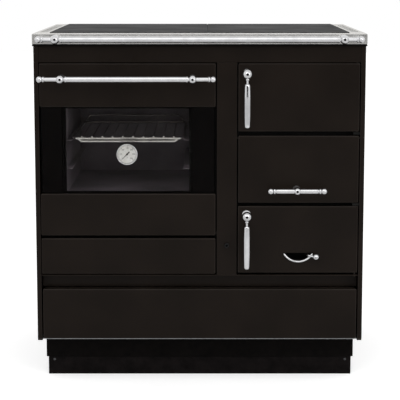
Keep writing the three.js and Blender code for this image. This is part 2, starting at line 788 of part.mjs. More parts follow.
// A lever handle: ball, neck and grip, a spindle through the door with a rosette on its face, and
// a cam behind the door.
function leverSolid(x, z) {
  const y = -leverStandoff;
  const collar = z - leverBallRadius;
  const neck = turned([
    [0, z - gripTopBelowBall - 1], [leverNeckRadius, z - gripTopBelowBall - 1],
    [leverNeckRadius, collar - 3], [6, collar - 2], [6, collar + 2], [0, collar + 2],
  ], 'z', [x, y, 0]);
  const rosette = rosetteRadius + 1.5;
  const spindle = turned([
    [0, y], [leverSpindleRadius - 0.5, y], [leverSpindleRadius - 0.5, -9], [rosette, -gap - 4],
    [rosette, -gap], [leverSpindleRadius, -gap], [leverSpindleRadius, doorThickness + 2],
    [0, doorThickness + 2],
  ], 'y', [x, 0, z]);
  const cam = box([x - leverCamReach, x + leverCamReach],
    [doorThickness + gap, doorThickness + gap + leverCamThickness],
    [z - leverCamHalfHeight, z + leverCamHalfHeight]);
  const socket = rod(screwSocketRadius, 'y', y - leverBallRadius - 1,
    y - leverBallRadius + screwSocketDepth, [x, 0, z], 8);
  const knob = ball(leverBallRadius, [x, y, z]);
  return cut(union(knob, neck, gripSolid(x, z), spindle, cam), socket);
}

function gripSolid(x, z) {
  const top = z - gripTopBelowBall;
  const bottom = top - gripLength;
  const groove = gripEndRadius - 1.6;
  return turned([
    [0, bottom], [gripEndRadius - 2, bottom], [gripEndRadius - 0.4, bottom + 4],
    [groove, bottom + 5], [groove, bottom + 6.5], [gripEndRadius, bottom + 8],
    [gripWaistRadius, bottom + gripLength * 0.35], [gripWaistRadius, bottom + gripLength * 0.65],
    [gripEndRadius, top - 8], [groove, top - 6.5], [groove, top - 5], [gripEndRadius - 0.4, top - 4],
    [gripEndRadius - 0.6, top], [0, top],
  ], 'z', [x, -leverStandoff, 0]);
}

function spindleHole(x, z) {
  return rod(leverSpindleRadius + runningGap, 'y', -2, doorThickness + 2, [x, 0, z]);
}

// ---------- oven door ----------

function makeOvenDoor() {
  const spanX = [leftDoorLeft, leftDoorRight];
  const hingePins = rod(hingePinRadius, 'x', -innerHalfWidth - hingePinBite, columnLeft + sheet,
    [0, hingeBehindFront, ovenHingeHeight]);
  addMesh('oven_door_top_panel', doorPan(spanX, [windowTop + gap, doorsTop]), enamel);
  addMesh('oven_door_bottom_panel',
    union(doorPan(spanX, [ovenDoorBottom, windowBottom - gap]), hingePins), enamel);

  const glassX = [leftDoorLeft + 2.5, leftDoorRight - 2.5];
  const glassY = [1.5, 6.5];
  const stemHole = rod(thermometerStemRadius + 0.5, 'y', 0, plateFront,
    [ovenCentreX, 0, thermometerHeight]);
  const pane = uprightPlate(rectangle(glassX[0], glassX[1], windowBottom + 0.5, windowTop - 0.5),
    glassY, 0.6);
  addMesh('oven_door_glass', cut(pane, stemHole), glass);

  const y0 = panelDepth + gap;
  const wall = sheet;
  const windowX = [ovenLeft - 4, ovenRight + 4];
  const windowZ = [windowBottom + 3, windowTop - 4];
  const outerX = [spanX[0] + linerInset, spanX[1] - linerInset];
  const outerZ = [ovenDoorBottom + linerInset, doorsTop - linerInset];
  const block = box(outerX, [y0, doorThickness], outerZ);
  const sidePads = [
    box([glassX[0], windowX[0] - 4], [glassY[1] + gap, y0 + 1], [windowBottom + 1, windowTop - 1]),
    box([windowX[1] + 4, glassX[1]], [glassY[1] + gap, y0 + 1], [windowBottom + 1, windowTop - 1]),
  ];
  const windowHole = box(windowX, [0, doorThickness + 1], windowZ);
  const cavities = [
    box([outerX[0] + wall, outerX[1] - wall], [y0 - 1, doorThickness - wall],
      [windowZ[1] + wall + 4, outerZ[1] - wall]),
    box([outerX[0] + wall, outerX[1] - wall], [y0 - 1, doorThickness - wall],
      [outerZ[0] + wall, windowZ[0] - wall - 4]),
  ];
  addMesh('oven_door_frame', cut(union(block, ...sidePads), windowHole, ...cavities), darkSteel);

  const innerPane = box([windowX[0] + gap, windowX[1] - gap],
    [doorThickness - 4.5, doorThickness - 0.5], [windowZ[0] + gap, windowZ[1] - gap]);
  addMesh('oven_door_inner_glass', cut(innerPane, stemHole), clearGlass);

  const sealAround = ovenSealWidth + 4;
  const sealY = [doorThickness + gap, plateFront - gap];
  const sealRing = (out, corner, y) => uprightPlate(roundedRectangle(ovenLeft - out,
    ovenRight + out, ovenFloor - out, ovenFloor + ovenHeight + out, corner), y);
  const seal = cut(sealRing(sealAround, 10, sealY),
    sealRing(sealAround - ovenSealWidth, 6, [sealY[0] - 1, sealY[1] + 1]));
  addMesh('oven_door_seal', seal, sealGrey);

  const handleX = [leftDoorLeft - 1.5, leftDoorRight + 1];
  const balls = [handleX[0] + ovenHandleBallInset, handleX[1] - ovenHandleBallInset];
  addMesh('oven_door_handle', railSolid(handleX, balls, ovenHandleBallRadius, ovenHandleStandoff,
    doorsTop - ovenHandleBelowDoorTop, 0), chrome);
}

function makeThermometer() {
  const at = [ovenCentreX, 0, thermometerHeight];
  const [rim, inner] = [thermometerRadius, thermometerRadius - thermometerRim];
  const front = -thermometerDepth;
  const stemEnd = plateFront + 16;
  const caseProfile = [
    [0, 0.2], [inner, 0.2], [inner, front + 0.6], [rim - 1, front], [rim, front + 1.2],
    [rim, front + 3.6], [rim - 1.5, 0], [rim - 1.5, 1.2], [thermometerStemRadius, 1.2],
    [thermometerStemRadius, stemEnd], [0, stemEnd],
  ];
  addMesh('thermometer_case', turned(caseProfile, 'y', at, 24), chrome);
  addMesh('thermometer_dial', rod(inner - gap, 'y', -1, 0.2 - gap, at, 24), dialWhite);

  const tipLength = 17;
  const tailLength = 7;
  const direction = toRadians(needleAngle);
  const pointer = new THREE.Shape();
  const place = (along, across) => [
    along * Math.cos(direction) - across * Math.sin(direction),
    along * Math.sin(direction) + across * Math.cos(direction),
  ];
  pointer.moveTo(...place(-tailLength, -1.4));
  pointer.lineTo(...place(0, -1.2));
  pointer.lineTo(...place(tipLength, 0));
  pointer.lineTo(...place(0, 1.2));
  pointer.lineTo(...place(-tailLength, 1.4));
  pointer.closePath();
  const blade = uprightPlate(pointer, [-3.2, -2.4]);
  const hub = rod(2.4, 'y', -4.4, -1 - gap, [0, 0, 0], 12);
  const needle = addMesh('thermometer_needle', union(blade, hub), darkSteel);
  needle.position.set(...at);
}

// ---------- firebox doors ----------

function makeFireDoor() {
  const spanX = [rightDoorLeft, rightDoorRight];
  const spanZ = [fireDoorBottom, doorsTop];
  const leverZ = doorsTop - fireLeverBelowTop;
  const hingePins = rod(hingePinRadius, 'z', flapTop + 2 * hingeLugGap, fasciaBottom + sheet + 3,
    [hingeSideX, hingeBehindFront, 0]);
  const pan = union(doorPan(spanX, spanZ), hingePins);
  addMesh('fire_door_panel', cut(pan, spindleHole(leverX, leverZ)), enamel);
  addMesh('fire_door_liner', cut(doorLiner(spanX, spanZ), spindleHole(leverX, leverZ)),
    castIron);
  addMesh('fire_door_lever', leverSolid(leverX, leverZ), chrome);
}

function makeStokingFlap() {
  const spanX = [rightDoorLeft, rightDoorRight];
  const spanZ = [flapBottom, flapTop];
  const hingePins = rod(hingePinRadius, 'x', columnRight - sheet, innerHalfWidth + hingePinBite,
    [0, hingeBehindFront, flapHingeHeight]);
  addMesh('stoking_flap_panel', union(doorPan(spanX, spanZ), hingePins), enamel);
  addMesh('stoking_flap_liner', doorLiner(spanX, spanZ), castIron);

  const centreX = rightDoorCentre + flapHandleFromCentre;
  const z = flapBottom + flapHandleAboveBottom;
  const y = -flapHandleStandoff;
  const half = flapHandleWidth / 2;
  const ends = finialProfile.map(([radius, along]) => [radius, -half + along]);
  const otherEnds = finialProfile.slice().reverse().map(
    ([radius, along]) => [radius, half - along]);
  const bar = turned([...ends, ...otherEnds], 'x', [centreX, y, z]);
  const bracket = bracketSolid(centreX, z, flapHandleStandoff, flapHandleBallRadius, 0);
  const socket = rod(screwSocketRadius, 'y', y - flapHandleBallRadius - 1,
    y - flapHandleBallRadius + screwSocketDepth, [centreX, 0, z], 8);
  addMesh('stoking_flap_handle', union(bracket, cut(bar, socket)), chrome);
}

// The mouth of the air regulator: a circle segment with its arc below, drawn about the pivot.
function regulatorMouth(radius) {
  const half = toRadians(regulatorHalfAngle);
  const shape = new THREE.Shape();
  shape.absarc(regulatorX, regulatorHeight, radius, -Math.PI / 2 - half, -Math.PI / 2 + half);
  shape.closePath();
  return shape;
}

function makeAshDoor() {
  const spanX = [rightDoorLeft, rightDoorRight];
  const spanZ = [lowerDoorsBottom, ashDoorTop];
  const leverZ = ashDoorTop - ashLeverBelowTop;
  const hingePins = rod(hingePinRadius, 'z', crossRailTop - sheet - 3, flapBottom - hingeLugGap,
    [hingeSideX, hingeBehindFront, 0]);
  const mouth = uprightPlate(regulatorMouth(regulatorRadius), [-1, panelDepth], 0, 12);
  const pan = union(doorPan(spanX, spanZ), hingePins);
  addMesh('ash_door_panel', cut(pan, spindleHole(leverX, leverZ), mouth), enamel);

  const pinHole = rod(regulatorPinRadius + runningGap, 'y', panelDepth - 1, doorThickness - 2,
    [regulatorX, 0, regulatorHeight]);
  const airWay = box([regulatorX - airWayHalfWidth, regulatorX + airWayHalfWidth],
    [panelDepth - 1, doorThickness + 1],
    [regulatorHeight - regulatorRadius - 2, regulatorHeight - 15]);
  const pinBoss = rod(14, 'y', panelDepth + 2, doorThickness - 1, [regulatorX, 0, regulatorHeight]);
  const liner = union(doorLiner(spanX, spanZ), pinBoss);
  addMesh('ash_door_liner', cut(liner, spindleHole(leverX, leverZ), pinHole, airWay), castIron);
  addMesh('ash_door_lever', leverSolid(leverX, leverZ), chrome);

  const half = toRadians(regulatorHalfAngle);
  const inner = regulatorMouthRadius;
  const outer = inner + regulatorLipThickness;
  const lip = new THREE.Shape();
  lip.absarc(regulatorX, regulatorHeight, outer, -Math.PI / 2 - half, -Math.PI / 2 + half);
  lip.absarc(regulatorX, regulatorHeight, inner, -Math.PI / 2 + half, -Math.PI / 2 - half, true);
  lip.closePath();
  addMesh('air_regulator_lip', uprightPlate(lip, [-regulatorLipReach, -gap], 0, 12), chrome);

  makeRegulatorDamper();
}

// A disc behind the ash door's skin with a window, a stub axle in the liner, and a bent stem that
// leaves by the mouth and carries the ball knob in front.
function makeRegulatorDamper() {
  const discY = [panelSkin + 0.5, panelSkin + 0.5 + damperThickness];
  const at = [regulatorX, 0, regulatorHeight];
  const disc = rod(regulatorRadius + 7, 'y', discY[0], discY[1], at, 24);
  const windowFrom = toRadians(-90 - regulatorHalfAngle - 2);
  const windowTo = toRadians(-90 + regulatorStemAngle - 9);
  const windowShape = new THREE.Shape();
  windowShape.absarc(regulatorX, regulatorHeight, regulatorRadius + 1, windowFrom, windowTo);
  windowShape.absarc(regulatorX, regulatorHeight, 14, windowTo, windowFrom, true);
  windowShape.closePath();
  const windowCut = uprightPlate(windowShape, [discY[0] - 1, discY[1] + 1], 0, 12);
  const axle = rod(regulatorPinRadius, 'y', discY[1] - 1, doorThickness - 5, at);

  const stemAt = toRadians(-90 + regulatorStemAngle);
  const knobAt = toRadians(-90 + regulatorKnobAngle);
  const root = [regulatorX + regulatorStemPath * Math.cos(stemAt),
    regulatorHeight + regulatorStemPath * Math.sin(stemAt)];
  const knob = [regulatorX + regulatorKnobPath * Math.cos(knobAt),
    regulatorHeight + regulatorKnobPath * Math.sin(knobAt)];
  const stemLength = regulatorKnobStandoff;
  const stemRadius = regulatorStemRadius;
  const stem = rod(stemRadius, 'y', -stemLength, discY[1] - 1, [root[0], 0, root[1]], 10);
  const elbow = ball(stemRadius, [root[0], -stemLength, root[1]], 10);
  const reach = Math.hypot(knob[0] - root[0], knob[1] - root[1]);
  const arm = new THREE.CylinderGeometry(stemRadius, stemRadius, reach, 10);
  arm.translate(0, reach / 2, 0);
  arm.rotateZ(Math.atan2(knob[1] - root[1], knob[0] - root[0]) - Math.PI / 2);
  arm.rotateX(Math.PI / 2);
  arm.translate(root[0], -stemLength, root[1]);
  const knobBall = ball(regulatorKnobRadius, [knob[0], -stemLength, knob[1]]);
  const damper = union(cut(disc, windowCut), axle, stem, elbow, toSolid(arm), knobBall);
  addMesh('air_regulator_damper', damper, chrome);
}

// ---------- soot cover and wood drawer ----------

function makeSootCover() {
  const spanX = [leftDoorLeft, leftDoorRight];
  const [x, z] = [sootOpeningX, sootOpeningZ];
  const slack = 0.5;
  const plug = box([x[0] + slack, x[1] - slack], [panelSkin - 1, plateFront + 8],
    [z[0] + slack, z[1] - slack]);
  const hollow = box([x[0] + 4, x[1] - 4], [panelSkin, plateFront + 9], [z[0] + 4, z[1] - 4]);
  const pan = doorPan(spanX, [lowerDoorsBottom, sootCoverTop]);
  addMesh('soot_cover', cut(union(pan, plug), hollow), enamel);
}

function makeWoodDrawer() {
  const front = doorPan([-drawerHalfWidth, drawerHalfWidth], [drawerBottom, drawerTop],
    drawerFrontThickness);
  addMesh('wood_drawer_front', front, enamel);
  const tub = cut(
    box([-drawerBoxHalfWidth, drawerBoxHalfWidth], [drawerBoxFront, drawerBoxBack],
      [drawerFloor, drawerFloor + drawerBoxHeight]),
    box([-drawerBoxHalfWidth + drawerBoxWall, drawerBoxHalfWidth - drawerBoxWall],
      [drawerBoxFront + drawerBoxWall, drawerBoxBack - drawerBoxWall],
      [drawerFloor + drawerBoxWall, drawerFloor + drawerBoxHeight + 1]),
  );
  addMesh('wood_drawer_box', tub, galvanised);
}

// ---------- oven and smoke path ----------

function makeOvenFrontPlate() {
  const y = [plateFront, plateFront + frontPlateThickness];
  const plate = box([-sheetHalfWidth, castFrameLeft - gap], y,
    [crossRailTop + gap, casingTop - gap]);
  const through = [y[0] - 1, y[1] + 1];
  const ovenHole = box([ovenLeft, ovenRight], through, [ovenFloor, ovenFloor + ovenHeight]);
  const sootHole = box(sootOpeningX, through, sootOpeningZ);
  const rodHole = rod(riddleRodRadius + 1, 'y', ...through, [riddleRodX, 0, riddleRodHeight]);
  addMesh('oven_front_plate', cut(plate, ovenHole, sootHole, rodHole), darkSteel);
}

function makeOvenBox() {
  const y0 = plateFront + frontPlateThickness + gap;
  const z = [ovenFloor, ovenFloor + ovenHeight];
  const outer = box([ovenLeft - ovenWall, ovenRight + ovenWall], [y0, y0 + ovenDepth + ovenWall],
    [z[0] - ovenWall, z[1] + ovenWall]);
  const inner = box([ovenLeft, ovenRight], [y0 - 1, y0 + ovenDepth], z);
  const ledge = rackSideGap + rackWireRadius + 2;
  const ledges = [];
  for (const level of [rackHeight - gap, rackHeight - gap - 70]) {
    for (const span of [[ovenLeft - 1, ovenLeft + ledge], [ovenRight - ledge, ovenRight + 1]]) {
      ledges.push(box(span, [y0 + 8, y0 + ovenDepth + 1], [level - 2, level]));
    }
  }
  addMesh('oven_box', union(cut(outer, inner), ...ledges), darkSteel);

  const rackX = [ovenLeft + rackSideGap + rackWireRadius, ovenRight - rackSideGap - rackWireRadius];
  const rackY = [y0 + 14, y0 + ovenDepth - 20];
  const z1 = rackHeight + rackWireRadius;
  const pieces = [];
  for (const y of rackY) {
    pieces.push(rod(rackWireRadius, 'x', rackX[0] - 1, rackX[1] + 1, [0, y, z1], 8));
  }
  for (const x of rackX) {
    pieces.push(rod(rackWireRadius, 'y', rackY[0] - 1, rackY[1] + 1, [x, 0, z1], 8));
  }
  const pitch = (rackX[1] - rackX[0]) / (rackBarCount + 1);
  for (let i = 1; i <= rackBarCount; i += 1) {
    pieces.push(rod(rackBarRadius, 'y', rackY[0] - 3, rackY[1] + 3,
      [rackX[0] + i * pitch, 0, z1 + rackWireRadius], 6));
  }
  addMesh('oven_rack', union(...pieces), stainless);
}

function makeSmokeCasing() {
  const x = [smokeCasingLeft, smokeCasingRight];
  const y = [smokeCasingFront, smokeCasingBack];
  const z = [floorPanelTop + gap, casingTop - 1];
  const inner = box([x[0] + sheet, x[1] - sheet], [y[0] - 1, y[1] - sheet],
    [z[0] + sheet, z[1] + 1]);
  const crossover = box([x[1] - 2 * sheet, x[1] + 1], [y[0] - 1, y[1] - sheet],
    [crossoverHeight, z[1] + 1]);
  const flueHole = rod(fluePipeRadius - flueWall, 'y', y[1] - 2 * sheet, y[1] + 1,
    [ovenCentreX, 0, flueHeight], 32);
  const shelf = box([x[1] - 1, fireboxLeft - gap], [fireboxFront, fireboxBack],
    [crossoverHeight - sheet, crossoverHeight]);
  const shell = cut(box(x, y, z), inner, crossover, flueHole);
  addMesh('smoke_casing', union(shell, shelf), darkSteel);

  const pipeStart = smokeCasingBack + gap;
  const end = bodyDepth + flueReach;
  const profile = [
    [fluePipeRadius - flueWall, pipeStart], [flueFlangeRadius, pipeStart],
    [flueFlangeRadius, pipeStart + flueWall], [fluePipeRadius, pipeStart + flueWall],
    [fluePipeRadius, end], [fluePipeRadius - flueWall, end],
    [fluePipeRadius - flueWall, pipeStart],
  ];
  addMesh('flue_spigot', turned(profile, 'y', [ovenCentreX, 0, flueHeight], 24), darkSteel);
}

// ---------- firebox ----------

function makeFireboxFrame() {
  const y = [plateFront, plateFront + castFrameThickness];
  const plate = box([castFrameLeft, sheetHalfWidth], y, [crossRailTop + gap, casingTop - gap]);
  const doorSpans = [[fireDoorBottom, doorsTop], [flapBottom, flapTop], [lowerDoorsBottom, ashDoorTop]];
  const holes = doorSpans.map(([z0, z1]) => box([fireOpeningLeft, fireOpeningRight],
    [y[0] - 1, y[1] + 1], [z0 + openingMargin, z1 - openingMargin]));
  const lugX = [rightDoorRight - hingeLugWidth, sheetHalfWidth];
  const lugY = [hingeLugSetback, y[0] + 1];
  const lugs = [
    box(lugX, lugY, [flapTop + 2 * hingeLugGap, fireDoorBottom - hingeLugGap]),
    box(lugX, lugY, [ashDoorTop + hingeLugGap, flapBottom - hingeLugGap]),
  ];
  const lugHoles = [[flapTop + 2, fireDoorBottom], [ashDoorTop, flapBottom]].map(([z0, z1]) => (
    rod(hingePinRadius + runningGap, 'z', z0, z1, [hingeSideX, hingeBehindFront, 0])));
  addMesh('firebox_front_frame', cut(union(plate, ...lugs), ...holes, ...lugHoles), castIron);
}

function makeFireboxShell() {
  const x = [fireboxLeft, fireboxRight];
  const y = [fireboxFront, fireboxBack];
  const z = [floorPanelTop + gap, casingTop - 1];
  const wall = fireboxWall;
  const outer = box(x, y, z);
  const inner = box([x[0] + wall, x[1] - wall], [y[0] - 1, y[1] - wall], [z[0] + wall, z[1] + 1]);
  const crossover = box([x[0] - 1, x[0] + 2 * wall], [y[0] + 20, y[1] - 20],
    [crossoverHeight, z[1] + 1]);
  const riddleSlot = box([x[0] - 1, x[0] + 2 * wall],
    [riddleBarY[0] - riddleTravel - 2, riddleBarY[1] + 2], [riddleBarZ[0] - 2, riddleBarZ[1] + 2]);
  const shell = cut(outer, inner, crossover, riddleSlot);
  const ledgeTop = grateLevel - carrierThickness - gap;
  const panRailTop = lowerDoorsBottom + openingMargin + ashPanRailLift;
  const ledge = wall + fireboxLedgeWidth;
  const ledgeY = [y[0] + 6, y[1] - 1];
  const ledgeZ = [ledgeTop - fireboxLedgeThickness, ledgeTop];
  const railLeft = fireOpeningLeft + ashPanRailInset;
  const railRight = fireOpeningRight - ashPanRailInset;
  const railY = [y[0] + 2, y[1] - 60];
  const railZ = [z[0] + 1, panRailTop];
  const extras = [
    box([x[0] + 1, x[0] + ledge], ledgeY, ledgeZ),
    box([x[1] - ledge, x[1] - 1], ledgeY, ledgeZ),
    box([railLeft, railLeft + ashPanRailWidth], railY, railZ),
    box([railRight - ashPanRailWidth, railRight], railY, railZ),
  ];
  addMesh('firebox_shell', union(shell, ...extras), darkSteel);

  const px = [fireOpeningLeft + 6, fireOpeningRight - 6];
  const py = [y[0] + 4, y[1] - ashPanBackGap];
  const pz = [panRailTop + gap, panRailTop + gap + ashPanHeight];
  const ashPan = cut(
    box(px, py, pz),
    box([px[0] + ashPanWall, px[1] - ashPanWall], [py[0] + ashPanWall, py[1] - ashPanWall],
      [pz[0] + ashPanWall, pz[1] + 1]),
  );
  addMesh('ash_pan', ashPan, galvanised);
}

function makeFirebricks() {
  const x = [fireboxLeft + fireboxWall + gap, fireboxRight - fireboxWall - gap];
  const y0 = fireboxFront + gap;
  const y1 = fireboxBack - fireboxWall - gap;
  const z = [grateLevel + gap, grateLevel + gap + brickHeight];
  const sideY = [y0, y1 - brickThickness - gap];
  const bevelled = (shape, [z0, z1]) => flatPlate(shape, [z0, z1], 2);
  addMesh('firebrick_left', bevelled(rectangle(x[0], x[0] + brickThickness, ...sideY), z), brick);
  addMesh('firebrick_right', bevelled(rectangle(x[1] - brickThickness, x[1], ...sideY), z), brick);
  addMesh('firebrick_back', bevelled(rectangle(x[0], x[1], y1 - brickThickness, y1), z), brick);
}

function makeGrates() {
  const x = [fireboxLeft + fireboxWall + gap, fireboxRight - fireboxWall - gap];
  const y = [fireboxFront + gap, fireboxBack - fireboxWall - gap];
  const centreX = (x[0] + x[1]) / 2;
  const gateX = [centreX - grateWidth / 2, centreX + grateWidth / 2];
  const gateY = [grateFront, grateBack];
  const seat = 8;
  const carrierBottom = grateLevel - carrierThickness;
  const grateTop = grateLevel + grateProud;
  const rebateFloor = grateTop - grateThickness - gap;
  const railDrop = carrierRailDrop;
  const railX = [gateX[0] - 10, gateX[1] + 6];
  const carrier = cut(
    box(x, y, [carrierBottom, grateLevel]),
    box(gateX, gateY, [rebateFloor, grateLevel + 1]),
    box([gateX[0] + seat, gateX[1] - seat], [gateY[0] + seat, gateY[1] - seat],
      [carrierBottom - 1, grateLevel + 1]),
  );
  const rails = [];
  for (const [outside, direction] of [[railX[0], 1], [railX[1] + 4, -1]]) {
    const webX = [outside, outside + 4 * direction].sort((a, b) => a - b);
    const lipX = [outside, outside + 12 * direction].sort((a, b) => a - b);
    rails.push(box(webX, gateY, [carrierBottom - railDrop, carrierBottom + 1]));
    rails.push(box(lipX, gateY, [carrierBottom - railDrop, carrierBottom - railDrop + 3]));
  }
  addMesh('grate_carrier', union(carrier, ...rails), castIron);

  const inX = [gateX[0] + gap, gateX[1] - gap];
  const inY = [gateY[0] + gap, gateY[1] - gap];
  const slots = (from, to, [y0, y1]) => {
    const cuts = [];
    const pitch = (to - from) / grateSlotCount;
    for (let i = 0; i < grateSlotCount; i += 1) {
      const sx = from + (i + 0.5) * pitch;
      cuts.push(box([sx - grateSlotWidth / 2, sx + grateSlotWidth / 2], [y0, y1],
        [grateLevel - 60, grateLevel + 10]));
    }
    return cuts;
  };
  const grate = box(inX, inY, [rebateFloor + gap, grateTop]);
  const middle = (gateY[0] + gateY[1]) / 2;
  const slotSpans = [[gateY[0] + 14, middle - 6], [middle + 6, gateY[1] - 14]];
  const fixedCuts = slotSpans.flatMap((span) => slots(gateX[0] + 10, gateX[1] - 10, span));
  addMesh('fire_grate', cut(grate, ...fixedCuts), castIron);

  const lipTop = carrierBottom - railDrop + 3;
  const plateX = [railX[0] + 4 + gap, railX[1] - gap];
  const plateY = [gateY[0] + riddleTravel + 4, gateY[1] - 10];
  const plateZ = [lipTop + gap, lipTop + gap + riddlePlateThickness];
  const pegX = railX[0] + 30;
  const pegY = (riddleBarY[0] + riddleBarY[1]) / 2;
  const pegHole = rod(riddlePegRadius + runningGap, 'z', plateZ[0] - 1, plateZ[1] + 1, [pegX, pegY, 0]);
  const plate = box(plateX, plateY, plateZ);
  const slidingCuts = [[plateY[0] + 12, pegY - 14], [pegY + 14, plateY[1] - 12]].flatMap(
    (span) => slots(gateX[0] + 10, gateX[1] - 10, span),
  );
  addMesh('riddling_grate', cut(plate, ...slidingCuts, pegHole), castIron);

  const rodEnd = riddleBarY[1];
  const rodFront = -8;
  const pull = turned([
    [0, rodFront + 12], [3.2, rodFront + 12], [3.2, rodFront], [riddleRodRadius - 0.5, rodFront],
    [riddleRodRadius, rodFront + 0.8], [riddleRodRadius, rodEnd], [0, rodEnd],
  ], 'y', [riddleRodX, 0, riddleRodHeight]);
  const riser = box([riddleRodX - 3, riddleRodX + 3], riddleBarY,
    [riddleRodHeight, riddleBarZ[1]]);
  const bar = box([riddleRodX - 3, pegX + 8], riddleBarY, riddleBarZ);
  const peg = rod(riddlePegRadius, 'z', riddleBarZ[1] - 1, plateZ[1] - 1, [pegX, pegY, 0]);
  addMesh('riddling_rod', union(pull, riser, bar, peg), galvanised);
}

// ---------- assembly ----------

makePlinth();
makeFeet();
makeSidePanels();
makeCasingPlates();
makeFascia();
makePilaster();
makeCrossRail();
makeTopFrame();
makeVentGrilles();
makeHob();
makeTopRail();
makeOvenDoor();
makeThermometer();
makeFireDoor();
makeStokingFlap();
makeAshDoor();
makeSootCover();
makeWoodDrawer();
makeOvenFrontPlate();
makeOvenBox();
makeSmokeCasing();
makeFireboxFrame();
makeFireboxShell();
makeFirebricks();
makeGrates();

stove.position.set(0, frontPlaneY, 0);

export default stove;
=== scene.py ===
import json
import math

import bmesh
import bpy
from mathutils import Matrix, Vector


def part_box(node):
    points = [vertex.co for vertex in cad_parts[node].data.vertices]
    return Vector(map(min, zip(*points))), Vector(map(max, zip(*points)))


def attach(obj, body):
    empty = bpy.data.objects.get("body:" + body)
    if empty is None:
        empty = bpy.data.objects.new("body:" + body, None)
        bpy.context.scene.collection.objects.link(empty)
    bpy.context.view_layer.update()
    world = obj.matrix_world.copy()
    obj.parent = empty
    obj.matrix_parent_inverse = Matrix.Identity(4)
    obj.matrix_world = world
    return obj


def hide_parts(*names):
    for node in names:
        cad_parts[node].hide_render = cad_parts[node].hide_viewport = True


# A wood cookstove seen from the front: enamelled doors, a stainless top with two cast plates,
# chrome rails and levers, and an oven window with a thermometer. Everything is in metres and
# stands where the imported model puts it; small sizes are written in millimetres times MM.

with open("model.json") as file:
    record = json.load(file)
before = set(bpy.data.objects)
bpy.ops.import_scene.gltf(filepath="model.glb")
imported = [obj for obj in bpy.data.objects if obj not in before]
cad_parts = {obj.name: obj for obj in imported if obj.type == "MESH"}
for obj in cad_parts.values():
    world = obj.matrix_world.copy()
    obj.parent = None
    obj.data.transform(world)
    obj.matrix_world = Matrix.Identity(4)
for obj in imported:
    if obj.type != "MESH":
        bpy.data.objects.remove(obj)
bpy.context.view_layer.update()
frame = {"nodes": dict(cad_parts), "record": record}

MM = 0.001
RECORD = frame["record"]
BODY_OF = {node: body for body, nodes in RECORD["behaviour"]["bodies"].items() for node in nodes}
SLOT_OF = {part["node"]: part["material_slot"] for part in RECORD["subparts"]}
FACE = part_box("centre_pilaster")[0].y      # the plane of the door faces

X_AXIS = Vector((1, 0, 0))
Y_AXIS = Vector((0, 1, 0))
Z_AXIS = Vector((0, 0, 1))
# For each axis of a turned piece: the two directions across it, then the axis.
TURNING = {
    "x": (Y_AXIS, Z_AXIS, X_AXIS),
    "y": (Z_AXIS, X_AXIS, Y_AXIS),
    "z": (X_AXIS, Y_AXIS, Z_AXIS),
}


# ---------- camera ----------

CAMERA_DISTANCE = 3.490          # from the door faces
CAMERA_SIDE = 0.0007
CAMERA_HEIGHT = 1.0135
CAMERA_TILT = math.radians(8.16)
CAMERA_LENS = 130.48
CAMERA_SENSOR = 36
CAMERA_SHIFT = -0.06
CAMERA_REACH = 60


def make_camera():
    data = bpy.data.cameras.new("camera")
    data.lens = CAMERA_LENS
    data.sensor_width = CAMERA_SENSOR
    data.shift_y = CAMERA_SHIFT
    data.clip_end = CAMERA_REACH
    camera = bpy.data.objects.new("camera", data)
    camera.location = (CAMERA_SIDE, FACE - CAMERA_DISTANCE, CAMERA_HEIGHT)
    camera.rotation_euler = (math.pi / 2 - CAMERA_TILT, 0, 0)
    bpy.context.collection.objects.link(camera)
    bpy.context.scene.camera = camera
    bpy.context.scene.view_settings.view_transform = "Standard"


# ---------- materials ----------

def new_material(name, colour, roughness, metallic=0.0, specular=0.5, alpha=1.0):
    material = bpy.data.materials.new(name)
    material.use_nodes = True
    inputs = material.node_tree.nodes["Principled BSDF"].inputs
    inputs["Base Color"].default_value = (*colour, 1)
    inputs["Roughness"].default_value = roughness
    inputs["Metallic"].default_value = metallic
    inputs["Specular IOR Level"].default_value = specular
    inputs["Alpha"].default_value = alpha
    return material


def shader_input(material, name):
    return material.node_tree.nodes["Principled BSDF"].inputs[name]


def link(material, output, target):
    material.node_tree.links.new(output, target)


def add_node(material, kind, **settings):
    node = material.node_tree.nodes.new(kind)
    for name, value in settings.items():
        setattr(node, name, value)
    return node


def object_place(material, stretch=(1, 1, 1)):
    """The place on the object, in metres, scaled along each axis."""
    coordinates = add_node(material, "ShaderNodeTexCoord")
    mapping = add_node(material, "ShaderNodeMapping")
    mapping.inputs["Scale"].default_value = stretch
    link(material, coordinates.outputs["Object"], mapping.inputs["Vector"])
    return mapping.outputs["Vector"]


def noise_pattern(material, scale, detail=4.0, stretch=(1, 1, 1), rough=0.5):
    noise = add_node(material, "ShaderNodeTexNoise")
    noise.inputs["Scale"].default_value = scale
    noise.inputs["Detail"].default_value = detail
    noise.inputs["Roughness"].default_value = rough
    link(material, object_place(material, stretch), noise.inputs["Vector"])
    return noise.outputs[0]


def ramp(material, pattern, dark, light, start=0.35, stop=0.65):
    """A colour that runs from dark to light as the pattern goes from start to stop."""
    node = add_node(material, "ShaderNodeValToRGB")
    first, last = node.color_ramp.elements
    first.position, last.position = start, stop
    first.color = (*dark, 1)
    last.color = (*light, 1)
    link(material, pattern, node.inputs["Fac"])
    return node.outputs["Color"]


def span(material, pattern, low, high, start=0.3, stop=0.7):
    """A number that runs from low to high as the pattern goes from start to stop."""
    node = add_node(material, "ShaderNodeMapRange")
    for name, value in (("From Min", start), ("From Max", stop), ("To Min", low), ("To Max", high)):
        node.inputs[name].default_value = value
    link(material, pattern, node.inputs["Value"])
    return node.outputs["Result"]


def blend_colours(material, factor, first, second):
    node = add_node(material, "ShaderNodeMix", data_type="RGBA")
    link(material, factor, node.inputs["Factor"])
    for value, socket in ((first, node.inputs[6]), (second, node.inputs[7])):
        if isinstance(value, tuple):
            socket.default_value = (*value, 1)
        else:
            link(material, value, socket)
    return node.outputs[2]


